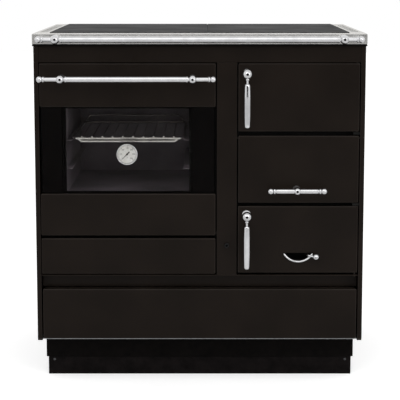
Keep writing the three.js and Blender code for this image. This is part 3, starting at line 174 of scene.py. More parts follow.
def bump(material, height, distance, before=None):
    node = add_node(material, "ShaderNodeBump")
    node.inputs["Strength"].default_value = 1.0
    node.inputs["Distance"].default_value = distance
    link(material, height, node.inputs["Height"])
    if before is not None:
        link(material, before, node.inputs["Normal"])
    return node.outputs["Normal"]


def scaled(colour, factor):
    return tuple(min(1.0, channel * factor) for channel in colour)


def set_surface(material, colour, roughness, normal):
    """Gives the shader its patterned colour, roughness and relief."""
    link(material, colour, shader_input(material, "Base Color"))
    link(material, roughness, shader_input(material, "Roughness"))
    link(material, normal, shader_input(material, "Normal"))


def patterned(material, pattern, dark, light, gloss, relief, depth):
    """One pattern sets both colour and roughness, and the relief pattern raises the surface."""
    body = ramp(material, pattern, dark, light)
    set_surface(material, body, span(material, pattern, *gloss), bump(material, relief, depth))
    return material


def enamel_material(name, colour):
    """Brown-black vitreous enamel: faint mottling and a fine orange-peel skin."""
    material = new_material(name, colour, 0.3, specular=0.08)
    body = ramp(material, noise_pattern(material, 9, 5), scaled(colour, 0.86), scaled(colour, 1.14))
    gloss = span(material, noise_pattern(material, 5, 3), 0.26, 0.36)
    peel = bump(material, noise_pattern(material, 420, 2), 0.00002)
    waves = bump(material, noise_pattern(material, 7, 1), 0.0005, peel)
    set_surface(material, body, gloss, waves)
    return material


def black_paint_material(name, colour):
    """Matt black paint, a little dusty: plinth, top trim, oven door frame and damper disc."""
    material = new_material(name, colour, 0.55, specular=0.04)
    dust = noise_pattern(material, 45, 8, rough=0.7)
    return patterned(material, dust, scaled(colour, 0.6), scaled(colour, 1.7), (0.48, 0.66),
                     noise_pattern(material, 500, 3), 0.00004)


def oven_enamel_material():
    """Speckled enamel inside the oven, made lighter grey than the enamel's own grey-black: painted
    light for the haze seen through the oven window.
    """
    # Lighter than the enamel's own grey-black: painted light.
    colour = (0.25, 0.215, 0.24)
    speck = (0.12, 0.12, 0.12)
    material = new_material("oven_enamel_lit", colour, 0.35, specular=0.4)
    specks = noise_pattern(material, 600, 2)
    stains = noise_pattern(material, 8, 5)
    body = ramp(material, stains, scaled(colour, 0.6), scaled(colour, 1.5))
    dotted = blend_colours(material, span(material, specks, 0.0, 1.0, 0.62, 0.68), body, speck)
    set_surface(material, dotted, span(material, stains, 0.28, 0.45),
                bump(material, specks, 0.00002))
    return material


def stainless_material(name, colour):
    """Polished stainless sheet, brushed along its length, with faint wipe marks."""
    material = new_material(name, colour, 0.2, metallic=1.0)
    shader_input(material, "Specular Tint").default_value = (0.72, 0.71, 0.69, 1)
    brushed = noise_pattern(material, 1, 6, (6, 900, 900), 0.7)
    body = ramp(material, brushed, scaled(colour, 0.93), scaled(colour, 1.05))
    smears = noise_pattern(material, 14, 4)
    set_surface(material, body, span(material, smears, 0.19, 0.26),
                bump(material, brushed, 0.00001))
    return material


def chrome_material():
    """Bright chrome plate with faint haze and a few finger marks."""
    colour = (0.66, 0.66, 0.67)
    material = new_material("chrome", colour, 0.07, metallic=1.0)
    haze = noise_pattern(material, 60, 5)
    return patterned(material, haze, scaled(colour, 0.92), scaled(colour, 1.05), (0.05, 0.13),
                     noise_pattern(material, 160, 2), 0.00001)


# Painted shade: the rack wires darken over this span, further back in the oven.
SHADE_START = 15 * MM          # behind the rack's front wire
SHADE_FULL = 120 * MM


def nickel_material():
    """Nickel plate on the rack wires: bright at the front, with painted shade that darkens them
    further back in the oven.
    """
    colour = (0.95, 0.93, 0.88)
    # The painted shade's colour, reached far back in the oven.
    back_shade = (0.34, 0.30, 0.28)
    material = new_material("rack_nickel", colour, 0.1, metallic=1.0)
    dull = noise_pattern(material, 40, 5)
    plated = ramp(material, dull, scaled(colour, 0.85), colour)
    parts = add_node(material, "ShaderNodeSeparateXYZ")
    link(material, object_place(material), parts.inputs["Vector"])
    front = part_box("oven_rack")[0].y
    depth = span(material, parts.outputs["Y"], 0.0, 1.0, front + SHADE_START,
                 front + SHADE_FULL)
    set_surface(material, blend_colours(material, depth, plated, back_shade),
                span(material, dull, 0.07, 0.16),
                bump(material, noise_pattern(material, 300, 2), 0.00001))
    return material


def cast_iron_material(name, colour):
    """Ground and blackened cast iron: fine grinding marks along X, pores and stains."""
    material = new_material(name, colour, 0.6, specular=0.05)
    grinding = noise_pattern(material, 1, 5, (25, 700, 700), 0.65)
    stains = noise_pattern(material, 11, 6)
    body = blend_colours(material, stains, scaled(colour, 0.75), scaled(colour, 1.3))
    marked = blend_colours(material, span(material, grinding, 0.0, 0.5), body,
                           scaled(colour, 1.7))
    marks = bump(material, grinding, 0.00006)
    pores = bump(material, noise_pattern(material, 900, 2), 0.00005, marks)
    set_surface(material, marked, span(material, stains, 0.52, 0.68), pores)
    return material


def dark_steel_material(name, colour):
    """Heat-proof black paint on steel: dry, with soot-grey patches."""
    material = new_material(name, colour, 0.45, specular=0.1)
    soot = noise_pattern(material, 16, 6)
    return patterned(material, soot, scaled(colour, 0.7), scaled(colour, 1.6), (0.38, 0.58),
                     noise_pattern(material, 700, 3), 0.00003)


def galvanised_material():
    """Zinc-coated sheet with its spangle of crystals."""
    colour = (0.36, 0.37, 0.38)
    material = new_material("galvanised", colour, 0.4, metallic=0.85)
    crystals = add_node(material, "ShaderNodeTexVoronoi")
    crystals.inputs["Scale"].default_value = 130
    link(material, object_place(material), crystals.inputs["Vector"])
    grey = add_node(material, "ShaderNodeRGBToBW")
    link(material, crystals.outputs["Color"], grey.inputs["Color"])
    shade = grey.outputs["Val"]
    body = ramp(material, shade, scaled(colour, 0.78), scaled(colour, 1.2), 0.2, 0.8)
    set_surface(material, body, span(material, shade, 0.32, 0.52), bump(material, shade, 0.00004))
    return material


def tinted_glass_material():
    """Dark ceramic glass; what is behind it shows faintly, and finger marks haze it a little."""
    material = new_material("tinted_glass", (0.0015, 0.0013, 0.0014), 0.03, specular=0.03,
                            alpha=0.12)
    haze = noise_pattern(material, 22, 6)
    return patterned(material, haze, (0.0010, 0.0009, 0.0010), (0.0024, 0.0020, 0.0022),
                     (0.02, 0.09), noise_pattern(material, 6, 1), 0.0002)


def clear_glass_material():
    """Clear glass with a light film of smoke towards patches of its surface."""
    material = new_material("clear_glass", (0.05, 0.045, 0.04), 0.04, specular=0.3, alpha=0.05)
    smoke = noise_pattern(material, 13, 6)
    return patterned(material, smoke, (0.03, 0.026, 0.022), (0.09, 0.08, 0.07), (0.03, 0.2),
                     noise_pattern(material, 8, 1), 0.0001)


def firebrick_material():
    """Pressed clay brick: sandy, speckled, smoked towards grey in places."""
    colour = (0.42, 0.31, 0.20)
    smoked = (0.10, 0.085, 0.07)
    material = new_material("firebrick", colour, 0.9, specular=0.15)
    sand = noise_pattern(material, 260, 6, rough=0.7)
    smoke = noise_pattern(material, 9, 5)
    body = ramp(material, sand, scaled(colour, 0.7), scaled(colour, 1.2))
    grimy = blend_colours(material, span(material, smoke, 0.0, 0.7, 0.45, 0.75), body, smoked)
    coarse = bump(material, noise_pattern(material, 60, 4), 0.0006)
    set_surface(material, grimy, span(material, sand, 0.82, 0.97),
                bump(material, sand, 0.0003, coarse))
    return material


def dial_material():
    """Satin white dial paint, a little yellowed."""
    material = new_material("dial_white", (0.78, 0.77, 0.73), 0.4, specular=0.4)
    age = noise_pattern(material, 110, 4)
    return patterned(material, age, (0.70, 0.69, 0.65), (0.82, 0.81, 0.78), (0.32, 0.48),
                     noise_pattern(material, 900, 2), 0.00001)


def rope_material():
    """Grey glass-fibre rope, fuzzy and slightly scorched."""
    material = new_material("rope_seal", (0.03, 0.028, 0.027), 0.95, specular=0.2)
    fibres = noise_pattern(material, 900, 4)
    return patterned(material, fibres, (0.012, 0.011, 0.010), (0.055, 0.052, 0.050), (0.85, 1.0),
                     fibres, 0.0003)


MATERIALS = {
    "enamel": enamel_material("enamel", (0.0104, 0.0073, 0.0055)),
    "stainless": stainless_material("stainless", (0.74, 0.73, 0.71)),
    "chrome": chrome_material(),
    "cast_iron": cast_iron_material("cast_iron", (0.0165, 0.0165, 0.0168)),
    "dark_steel": dark_steel_material("dark_steel", (0.006, 0.0056, 0.005)),
    "galvanised": galvanised_material(),
    "tinted_glass": tinted_glass_material(),
    "clear_glass": clear_glass_material(),
    "firebrick": firebrick_material(),
    "dial_white": dial_material(),
    "rope_seal": rope_material(),
}
# Painted highlight: lighter copies of three finishes for the faces of rounded edges, standing in for
# the light that those edges catch.
EDGE_HIGHLIGHT = {
    "enamel": enamel_material("enamel_edge_highlight", (0.026, 0.021, 0.018)),
    "cast_iron": cast_iron_material("cast_iron_edge_highlight", (0.065, 0.065, 0.067)),
    "dark_steel": dark_steel_material("dark_steel_edge_highlight", (0.022, 0.021, 0.019)),
}
BLACK_PAINT = black_paint_material("black_paint", (0.0030, 0.0024, 0.0022))
PLINTH_PAINT = black_paint_material("plinth_paint", (0.0058, 0.0047, 0.0046))
# Painted light: a lighter copy of the enamel for the rail in the finger recess and the drawer's lip,
# which lie in the recess's shade.
LIT_RECESS_ENAMEL = enamel_material("lit_recess_enamel", (0.0150, 0.0108, 0.0084))
# Painted shade: a darker copy of the stainless for the vent strips.
SHADED_VENT_STEEL = stainless_material("shaded_vent_steel", (0.46, 0.455, 0.44))
RACK_NICKEL = nickel_material()
LIT_OVEN_ENAMEL = oven_enamel_material()
# Pieces whose finish differs a little from their slot's: matt, sooty or speckled, and some lighter
# or darker copies that carry painted light or shade.
OWN_FINISH = {
    "upper_plinth": BLACK_PAINT, "lower_plinth": PLINTH_PAINT, "top_trim": BLACK_PAINT,
    "firebox_front_frame": MATERIALS["dark_steel"], "riddling_rod": MATERIALS["cast_iron"],
    "oven_box": LIT_OVEN_ENAMEL, "oven_rack": RACK_NICKEL, "vent_grille_left": SHADED_VENT_STEEL,
    "vent_grille_right": SHADED_VENT_STEEL, "oven_door_frame": BLACK_PAINT,
    "ash_pan": MATERIALS["dark_steel"], "lower_cross_rail": LIT_RECESS_ENAMEL,
}


# ---------- mesh tools ----------

def rounded(profile, radius, steps=3):
    """The profile with each inner corner turned into a short curve."""
    points = [profile[0]]
    for before, corner, after in zip(profile, profile[1:], profile[2:]):
        middle = Vector(corner)
        back = Vector(before) - middle
        ahead = Vector(after) - middle
        start = middle + back.normalized() * min(radius, back.length * 0.45)
        end = middle + ahead.normalized() * min(radius, ahead.length * 0.45)
        for i in range(steps + 1):
            t = i / steps
            points.append(tuple(start.lerp(middle, t).lerp(middle.lerp(end, t), t)))
    points.append(profile[-1])
    return points


def arc(centre, radius, start, stop, steps=12):
    """Points of a circle about a place on a turning axis; angles are in degrees from its tip."""
    points = []
    for i in range(steps + 1):
        angle = math.radians(start + (stop - start) * i / steps)
        points.append((radius * math.sin(angle), centre - radius * math.cos(angle)))
    return points


def turn(bm, profile, axis, at, steps=40):
    """Adds a turned solid. The profile holds (radius, distance along the axis) in millimetres."""
    across, up, along = TURNING[axis]
    rings = []
    for radius, distance in profile:
        centre = at + along * (distance * MM)
        if radius < 0.001:
            rings.append([bm.verts.new(centre)])
            continue
        ring = []
        for i in range(steps):
            angle = 2 * math.pi * i / steps
            ring.append(bm.verts.new(
                centre + (across * math.cos(angle) + up * math.sin(angle)) * (radius * MM)))
        rings.append(ring)
    for first, second in zip(rings, rings[1:]):
        for i in range(steps):
            corners = [first[i % len(first)], first[(i + 1) % steps % len(first)],
                       second[(i + 1) % steps % len(second)], second[i % len(second)]]
            face = list(dict.fromkeys(corners))
            if len(face) > 2:
                bm.faces.new(face)


def tube(bm, path, radii, normal, sides=14, flat=1.0):
    """Adds a round bar along a path that lies in the plane of the normal, closed at both ends.
    flat is its thickness along the normal as a share of its width."""
    rings = []
    for i, (point, radius) in enumerate(zip(path, radii)):
        ahead = path[min(i + 1, len(path) - 1)] - path[max(i - 1, 0)]
        side = ahead.normalized().cross(normal)
        ring = []
        for k in range(sides):
            angle = 2 * math.pi * k / sides
            ring.append(bm.verts.new(
                point + (side * math.cos(angle) + normal * (math.sin(angle) * flat)) * radius))
        rings.append(ring)
    for first, second in zip(rings, rings[1:]):
        for k in range(sides):
            after = (k + 1) % sides
            bm.faces.new([first[k], first[after], second[after], second[k]])
    bm.faces.new(rings[0])
    bm.faces.new(rings[-1])


def rounded_rod(bm, start, end, radius, normal, sides=14):
    """Adds a straight round bar with domed ends."""
    along = (end - start).normalized()
    dome = (10, 35, 60, 90)
    path = []
    radii = []
    for tip, inward, angles in ((start, along, dome), (end, -along, dome[::-1])):
        for angle in angles:
            swing = math.radians(angle)
            path.append(tip + inward * (radius * (1 - math.cos(swing))))
            radii.append(radius * math.sin(swing))
    tube(bm, path, radii, normal, sides)


def add_block(bm, low, high, bevel=0.0, segments=2):
    """Adds a box between two corners, with its edges rounded."""
    made = bmesh.ops.create_cube(bm, size=1.0)
    middle = (low + high) / 2
    size = high - low
    for vertex in made["verts"]:
        vertex.co = Vector(middle[i] + vertex.co[i] * size[i] for i in range(3))
    if bevel > 0:
        edges = {edge for vertex in made["verts"] for edge in vertex.link_edges}
        bmesh.ops.bevel(bm, geom=list(edges), offset=bevel, segments=segments, profile=0.5,
                        affect="EDGES", clamp_overlap=True)


def rounded_rectangle(low, high, corner):
    """Points round a rectangle with quarter-circle corners, back to the first one."""
    points = []
    for a, b, start in ((high[0] - corner, high[1] - corner, 0),
                        (low[0] + corner, high[1] - corner, 90),
                        (low[0] + corner, low[1] + corner, 180),
                        (high[0] - corner, low[1] + corner, 270)):
        for i in range(7):
            angle = math.radians(start + 15 * i)
            points.append((a + corner * math.cos(angle), b + corner * math.sin(angle)))
    points.append(points[0])
    return points


def thicken(bm, faces, depth, keep=False):
    """Gives flat faces a thickness along Y."""
    made = bmesh.ops.extrude_face_region(bm, geom=faces, use_keep_orig=keep)
    for item in made["geom"]:
        if isinstance(item, bmesh.types.BMVert):
            item.co.y += depth


def finish_piece(name, bm, nodes, slot=None, body=None, material=None, sharp=38, weighted=False,
                 edge_highlight_material=None):
    """Turns the mesh into a piece on its body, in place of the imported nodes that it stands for."""
    bmesh.ops.recalc_face_normals(bm, faces=bm.faces)
    for face in bm.faces:
        face.smooth = True
    for edge in bm.edges:
        edge.smooth = edge.calc_face_angle(0) < math.radians(sharp)
    mesh = bpy.data.meshes.new(name)
    bm.to_mesh(mesh)
    bm.free()
    obj = bpy.data.objects.new(name, mesh)
    bpy.context.collection.objects.link(obj)
    slot = slot or SLOT_OF[nodes[0]]
    own = OWN_FINISH.get(nodes[0]) if nodes else None
    mesh.materials.append(material or own or MATERIALS[slot])
    # A second slot, if given, holds the painted highlight for rounded edges.
    if edge_highlight_material is not None:
        mesh.materials.append(edge_highlight_material)
    if weighted:
        normals = obj.modifiers.new("normals", "WEIGHTED_NORMAL")
        normals.keep_sharp = True
    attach(obj, body or BODY_OF[nodes[0]])
    if nodes:
        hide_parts(*nodes)
    return obj


EDGE_SLANT = math.cos(math.radians(14))     # faces that lean more than this are rounded edges
DRAWER_SIDE_GROWTH = 3 * MM
DRAWER_TOP_GROWTH = 2 * MM
DRAWER_SIDE_ZONE = 375 * MM                 # what lies further out moves sideways
DRAWER_TOP_ZONE = 215 * MM                  # what lies higher moves up
SOOT_FACE_DEPTH = 12 * MM
SOOT_EDGE_ZONE = 280 * MM                   # what lies lower moves down
SOOT_GROWTH = 3 * MM


def close_drawer_gaps(bm):
    """Brings the drawer front nearer to the side panels and the rail, as in the photograph."""
    for vertex in bm.verts:
        if abs(vertex.co.x) > DRAWER_SIDE_ZONE:
            vertex.co.x += math.copysign(DRAWER_SIDE_GROWTH, vertex.co.x)
        if vertex.co.z > DRAWER_TOP_ZONE:
            vertex.co.z += DRAWER_TOP_GROWTH


def close_soot_gap(bm):
    """Brings the lower edge of the soot cover's face nearer to the rail under it."""
    for vertex in bm.verts:
        if vertex.co.y < FACE + SOOT_FACE_DEPTH and vertex.co.z < SOOT_EDGE_ZONE:
            vertex.co.z -= SOOT_GROWTH


CLOSER_EDGES = {"wood_drawer_front": close_drawer_gaps, "soot_cover": close_soot_gap}


SHARP_EDGE = math.radians(34)               # a packed edge that folds more than this is rounded
MERGE_DISTANCE = 2e-6


def refine(node, width):
    """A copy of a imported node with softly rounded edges, in its place."""
    bm = bmesh.new()
    bm.from_mesh(frame["nodes"][node].data)
    bmesh.ops.remove_doubles(bm, verts=bm.verts, dist=MERGE_DISTANCE)
    if node in CLOSER_EDGES:
        CLOSER_EDGES[node](bm)
    bmesh.ops.dissolve_limit(bm, angle_limit=math.radians(1), verts=bm.verts, edges=bm.edges)
    sharp = [edge for edge in bm.edges
             if edge.is_manifold and edge.calc_face_angle(0) > SHARP_EDGE]
    bmesh.ops.bevel(bm, geom=sharp, offset=width * MM, segments=2, profile=0.5,
                    affect="EDGES", clamp_overlap=True)
    bm.normal_update()
    # Faces of rounded edges take the lighter copy of the finish: a painted highlight.
    edge_highlight = None if node in OWN_FINISH else EDGE_HIGHLIGHT.get(SLOT_OF[node])
    if edge_highlight is not None:
        for face in bm.faces:
            slant = max(abs(part) for part in face.normal)
            face.material_index = 1 if slant < EDGE_SLANT else 0
    finish_piece(node + "_soft", bm, [node], weighted=True, sharp=50, edge_highlight_material=edge_highlight)


# ---------- rails, posts and levers ----------

NECK = 5.4                 # thin part of a rail beside its balls
RAIL = 7.0
FLAP_BAR = 6.2             # bar of the T-shaped handle
FLAP_BALL = 9.4
ROSETTE = 9.5
SOCKET = 3.0               # screw socket in the front of each ball
SOCKET_DEPTH = 3.4
SCREW_INSET = 1.2          # screw head behind the front of its ball
TOP_RAIL_BALL_INSET = 48
OVEN_HANDLE_BALL_INSET = 56.5
FLAP_FINIAL = 21.5         # length of a turned end of the T-shaped handle
GRIP_GAP = 22.5            # from the centre of a lever's ball down to its grip
CAM_HALF_WIDTH = 5.5
CAM_HALF_HEIGHT = 3.5
CAM_DEPTH = 4


def finial(tip, direction):
    """Turned end of a rail, from its tip inwards: a bead, a groove and a ring."""
    bead = arc(7.9, 7.9, 0, 148, 14)
    ring = rounded([(4.4, 14.4), (7.4, 15.0), (7.4, 18.6), (NECK, 19.4), (NECK, 21)], 0.7)
    return [(radius, tip + direction * along) for radius, along in bead + ring]


def socket_ball(ball, stop, steps):
    """Outline of a ball with a screw socket in its front, from the socket's bottom on."""
    start = math.degrees(math.asin((SOCKET + 0.5) / ball))
    socket = [(0, -ball + SOCKET_DEPTH), (SOCKET, -ball + SOCKET_DEPTH), (SOCKET, -ball + 1.0)]
    return socket + arc(0, ball, start, stop, steps)


def post(bm, x, y, z, ball):
    """Ball with a screw socket in front, on a waisted stem and a rosette against the face."""
    back = (FACE - y) / MM
    stem = NECK - 1
    foot = rounded([(stem, ball + 3), (stem + 0.2, ball + 6), (stem + 1.4, back - 9),
                    (ROSETTE - 1, back - 4.5), (ROSETTE, back - 3), (ROSETTE, back - 0.4),
                    (0, back - 0.4)], 1.2)
    turn(bm, socket_ball(ball, 155, 18) + foot, "y", Vector((x, y, z)))


def screw(x, y, z, body, number):
    """Hexagon socket screw seated in the ball's socket."""
    bm = bmesh.new()
    rim = rounded([(0, 1.6), (1.5, 1.6), (1.5, 0.2), (2.6, 0), (2.85, 0.4), (2.85, 2.2),
                   (0, 2.2)], 0.2)
    turn(bm, rim, "y", Vector((x, y, z)), 24)
    finish_piece(f"socket_screw_{number}", bm, [], "dark_steel", body)


def make_turned_bar(node, bar, balls, number, ball=None, steps=48):
    """A bar with turned ends, carried by one or two balls on posts, each with its screw."""
    low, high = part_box(node)
    half = (high.z - low.z) / 2 / MM
    ball = ball or half
    y = low.y + half * MM
    z = (low.z + high.z) / 2
    outline = finial(low.x / MM, 1) + bar + finial(high.x / MM, -1)[::-1]
    bm = bmesh.new()
    turn(bm, outline, "x", Vector((0, y, z)), steps)
    for x in balls:
        post(bm, x * MM, y, z, ball)
    finish_piece(node + "_turned", bm, [node])
    for i, x in enumerate(balls):
        screw(x * MM, y - (ball - SCREW_INSET) * MM, z, BODY_OF[node], number + i)


def make_rail(node, ball_inset, number):
    low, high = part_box(node)
    left, right = low.x / MM, high.x / MM
    clear = ball_inset + (high.z - low.z) / 2 / MM + 1
    start, stop = left + clear, right - clear
    collar = RAIL + 1.2
    bar = rounded([
        (NECK, start), (collar, start), (collar, start + 3), (RAIL, start + 4.2),
        (RAIL, stop - 4.2), (collar, stop - 3), (collar, stop), (NECK, stop),
    ], 0.8)
    make_turned_bar(node, bar, [left + ball_inset, right - ball_inset], number)


def make_flap_handle():
    low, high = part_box("stoking_flap_handle")
    left, right = low.x / MM, high.x / MM
    start, stop = left + FLAP_FINIAL, right - FLAP_FINIAL
    bar = rounded([(NECK, start), (FLAP_BAR, start + 1), (FLAP_BAR, stop - 1), (NECK, stop)], 0.5)
    make_turned_bar("stoking_flap_handle", bar, [(left + right) / 2], 5, FLAP_BALL, 40)


def lever_grip(bottom, top):
    """A long grip, a little thicker in its middle."""
    length = top - bottom
    return rounded([
        (0, bottom), (4.6, bottom), (7.0, bottom + 2.6), (7.5, bottom + 8),
        (8.3, bottom + length * 0.3), (8.3, bottom + length * 0.7), (7.5, top - 8),
        (7.0, top - 2.6), (4.6, top), (0, top),
    ], 3.0, 5)


def lever_neck(top, ball):
    """The thin neck and collar between grip and ball."""
    return rounded([(0, top - 2), (3.0, top - 2), (3.0, -ball - 3.0), (4.6, -ball - 2.2),
                    (4.8, -ball + 0.4), (3.8, -ball + 2), (0, -ball + 2)], 0.8)


def lever_spindle(ball, back, cam_front):
    """The ball with its screw socket, the rosette on the door and the spindle through it."""
    shaft = rounded([(4.5, ball + 2), (4.5, back - 10), (11, back - 4.3), (11, back - 0.4),
                     (5, back - 0.4), (5, cam_front + 1), (0, cam_front + 1)], 1.0)
    return socket_ball(ball, 158, 20) + shaft


def make_lever(node, number):
    """Ball, neck and long grip in front, a spindle through the door and a cam behind it."""
    low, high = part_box(node)
    ball = (high.x - low.x) / 2 / MM
    x = (low.x + high.x) / 2
    y = low.y + ball * MM
    z = high.z - ball * MM
    at = Vector((x, y, z))
    cam_front = (high.y - y) / MM - CAM_DEPTH
    bm = bmesh.new()
    turn(bm, lever_grip((low.z - z) / MM, -GRIP_GAP), "z", at)
    turn(bm, lever_neck(-GRIP_GAP, ball), "z", at, 28)
    turn(bm, lever_spindle(ball, (FACE - y) / MM, cam_front), "y", at, 44)
    cam_corner = Vector((CAM_HALF_WIDTH * MM, 0, CAM_HALF_HEIGHT * MM))
    add_block(bm, Vector((x, y + cam_front * MM, z)) - cam_corner,
              Vector((x, high.y, z)) + cam_corner, 0.8 * MM)
    finish_piece(node + "_turned", bm, [node])
    screw(x, y - (ball - SCREW_INSET) * MM, z, BODY_OF[node], number)


# ---------- thermometer ----------

DIAL_START = 225           # degrees from the right, where the cold end of the scale lies
DIAL_SWEEP = 270
DIAL_NUMBERS = ("0", "50", "100", "150", "200", "250", "300")
MARKS_PER_NUMBER = 5
BEZEL_WIDTH = 2.5
DIAL_FRONT = -0.7          # the dial's face, from the plane of the door faces
LONG_MARK = (5.2, 0.42)    # start, measured in from the bezel, and half width
SHORT_MARK = (3.6, 0.22)
MARK_END = 1.9
NUMBER_INSET = 8.6
NUMBER_SIZE = 4.6 * MM
UNIT_SIZE = 4.2 * MM
UNIT_DROP = 8.5 * MM       # below the dial's centre
FIGURE_DEPTH = 0.04 * MM


def text_mesh(bm, text, size, x, y, z):
    """Adds thin raised figures that face forwards."""
    curve = bpy.data.curves.new("figures", "FONT")
    curve.body = text
    curve.size = size
    curve.extrude = FIGURE_DEPTH
    curve.align_x = "CENTER"
    curve.align_y = "CENTER"
    holder = bpy.data.objects.new("figures", curve)
    bpy.context.collection.objects.link(holder)
    mesh = bpy.data.meshes.new_from_object(holder)
    first = len(bm.verts)
    bm.from_mesh(mesh)
    bm.verts.ensure_lookup_table()
    for vertex in bm.verts[first:]:
        vertex.co = Vector((x + vertex.co.x, y - vertex.co.z, z + vertex.co.y))
    bpy.data.objects.remove(holder)
    bpy.data.curves.remove(curve)
    bpy.data.meshes.remove(mesh)


def dial_directions(share):
    """Outwards and across, at a share of the dial's scale."""
    angle = math.radians(DIAL_START - DIAL_SWEEP * share)
    outward = Vector((math.cos(angle), 0, math.sin(angle)))
    across = Vector((-math.sin(angle), 0, math.cos(angle)))
    return outward, across


def make_bezel(at, radius, front, stem_end):
    inner = radius - BEZEL_WIDTH
    case = rounded([
        (0, 0.3), (inner, 0.3), (inner, front + 1.6), (inner + 0.5, front + 0.3),
        (radius - 1, front), (radius, front + 1.4), (radius, front + 3.6),
        (radius - 1.2, front + 5), (radius - 1.5, 1.1), (8, 1.2), (6, 1.6),
    ], 0.5)
    case += [(4.0, 1.6), (4.0, stem_end - 2.5), (2.6, stem_end), (0, stem_end)]
    bm = bmesh.new()
    turn(bm, case, "y", at, 72)
    finish_piece("thermometer_bezel", bm, ["thermometer_case"])


def make_dial_face(at, inner):
    outline = [(0, 0.1), (inner - 0.4, 0.1), (inner - 0.4, DIAL_FRONT + 0.2),
               (inner - 1.2, DIAL_FRONT), (0, DIAL_FRONT)]
    bm = bmesh.new()
    turn(bm, rounded(outline, 0.2), "y", at, 72)
    finish_piece("thermometer_face", bm, ["thermometer_dial"])


def make_dial_marks(at, inner):
    """The scale's marks, its numbers and the unit."""
    bm = bmesh.new()
    mark_y = FACE + (DIAL_FRONT - 0.06) * MM
    centre = Vector((at.x, mark_y, at.z))
    last = len(DIAL_NUMBERS) - 1
    marks = last * MARKS_PER_NUMBER
    for i in range(marks + 1):
        outward, across = dial_directions(i / marks)
        inset, half_width = SHORT_MARK if i % MARKS_PER_NUMBER else LONG_MARK
        start = outward * ((inner - inset) * MM)
        stop = outward * ((inner - MARK_END) * MM)
        side = across * (half_width * MM)
        corners = (centre + start - side, centre + start + side,
                   centre + stop + side, centre + stop - side)
        thicken(bm, [bm.faces.new([bm.verts.new(corner) for corner in corners])], 0.08 * MM)
    for i, number in enumerate(DIAL_NUMBERS):
        place = centre + dial_directions(i / last)[0] * ((inner - NUMBER_INSET) * MM)
        text_mesh(bm, number, NUMBER_SIZE, place.x, mark_y, place.z)
    text_mesh(bm, "°C", UNIT_SIZE, at.x, mark_y, at.z - UNIT_DROP)
    finish_piece("thermometer_marks", bm, [], "dark_steel", "oven_door", sharp=20)


def make_lens(at, inner, front):
    dome = [(0, front + 1.4), (inner * 0.5, front + 1.6), (inner * 0.8, front + 2.0),
            (inner - 0.3, front + 2.6), (inner - 0.3, front + 3.2), (inner * 0.8, front + 2.7),
            (inner * 0.5, front + 2.3), (0, front + 2.1)]
    bm = bmesh.new()
    turn(bm, dome, "y", at, 56)
    finish_piece("thermometer_lens", bm, [], "clear_glass", "oven_door")


def make_pointer(at):
    """A tapered pointer with a counterweight and a domed hub, at the cold end of the scale."""
    low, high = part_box("thermometer_needle")
    centre = Vector((at.x, (low.y + high.y) / 2, at.z))
    outward, across = dial_directions(0)
    outline = [(-8, -1.3), (-5.5, -1.5), (-2, -0.7), (0, -0.9), (17, -0.2), (17, 0.2), (0, 0.9),
               (-2, 0.7), (-5.5, 1.5), (-8, 1.3)]
    bm = bmesh.new()
    verts = []
    for along, aside in outline:
        verts.append(bm.verts.new(centre + outward * (along * MM) + across * (aside * MM)))
    thicken(bm, [bm.faces.new(verts)], 0.5 * MM)
    hub = [(0, -1.4), (1.6, -1.3), (2.3, -0.7), (2.3, 1.4), (0, 1.4)]
    turn(bm, rounded(hub, 0.3), "y", centre, 28)
    finish_piece("thermometer_pointer", bm, ["thermometer_needle"])


def make_thermometer():
    low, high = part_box("thermometer_case")
    radius = (high.x - low.x) / 2 / MM
    at = Vector(((low.x + high.x) / 2, FACE, (low.z + high.z) / 2))
    front = (low.y - FACE) / MM
    inner = radius - BEZEL_WIDTH
    make_bezel(at, radius, front, (high.y - FACE) / MM)
    make_dial_face(at, inner)
    make_dial_marks(at, inner)
    make_lens(at, inner, front)
    make_pointer(at)


# ---------- oven rack and seal ----------

RACK_BARS = 10
RACK_WIRE = 3.0 * MM       # radius of the frame wire
RACK_BAR = 2.0 * MM        # radius of the bars across it
RACK_CORNER = 14 * MM
RACK_BALL = 3.0            # ball tip of each bar
RACK_BAR_OVERHANG = 4 * MM
UNDER_WIRE = (17 * MM, 12 * MM, -7.5 * MM)     # inset, length of its bends and lift
BACK_STOP = (9 * MM, 14 * MM, 19 * MM)
SEAL_INSET = 3 * MM
SEAL_CORNER = 9 * MM
SEAL_STEP = 1.6 * MM       # between points along the rope
SEAL_STRAND = 1.7 * MM
SEAL_TWIST = (1.3 * MM, 0.2 * MM)      # how far each strand swings aside and forwards
SEAL_TURN = 6              # points in one turn of the twist
SEAL_FLATNESS = 0.28


def bent_wire(low, high, inset, run, lift, y, z):
    """A wire's path that bends away from height z, by the lift, near both ends."""
    path = []
    for start, inward in ((low.x + inset, 1), (high.x - inset, -1)):
        bend = []
        for i in range(9):
            t = i / 8
            rise = lift * math.sin(t * math.pi / 2)
            bend.append(Vector((start + inward * run * t, y, z + rise)))
        path += bend[::inward]
    return path


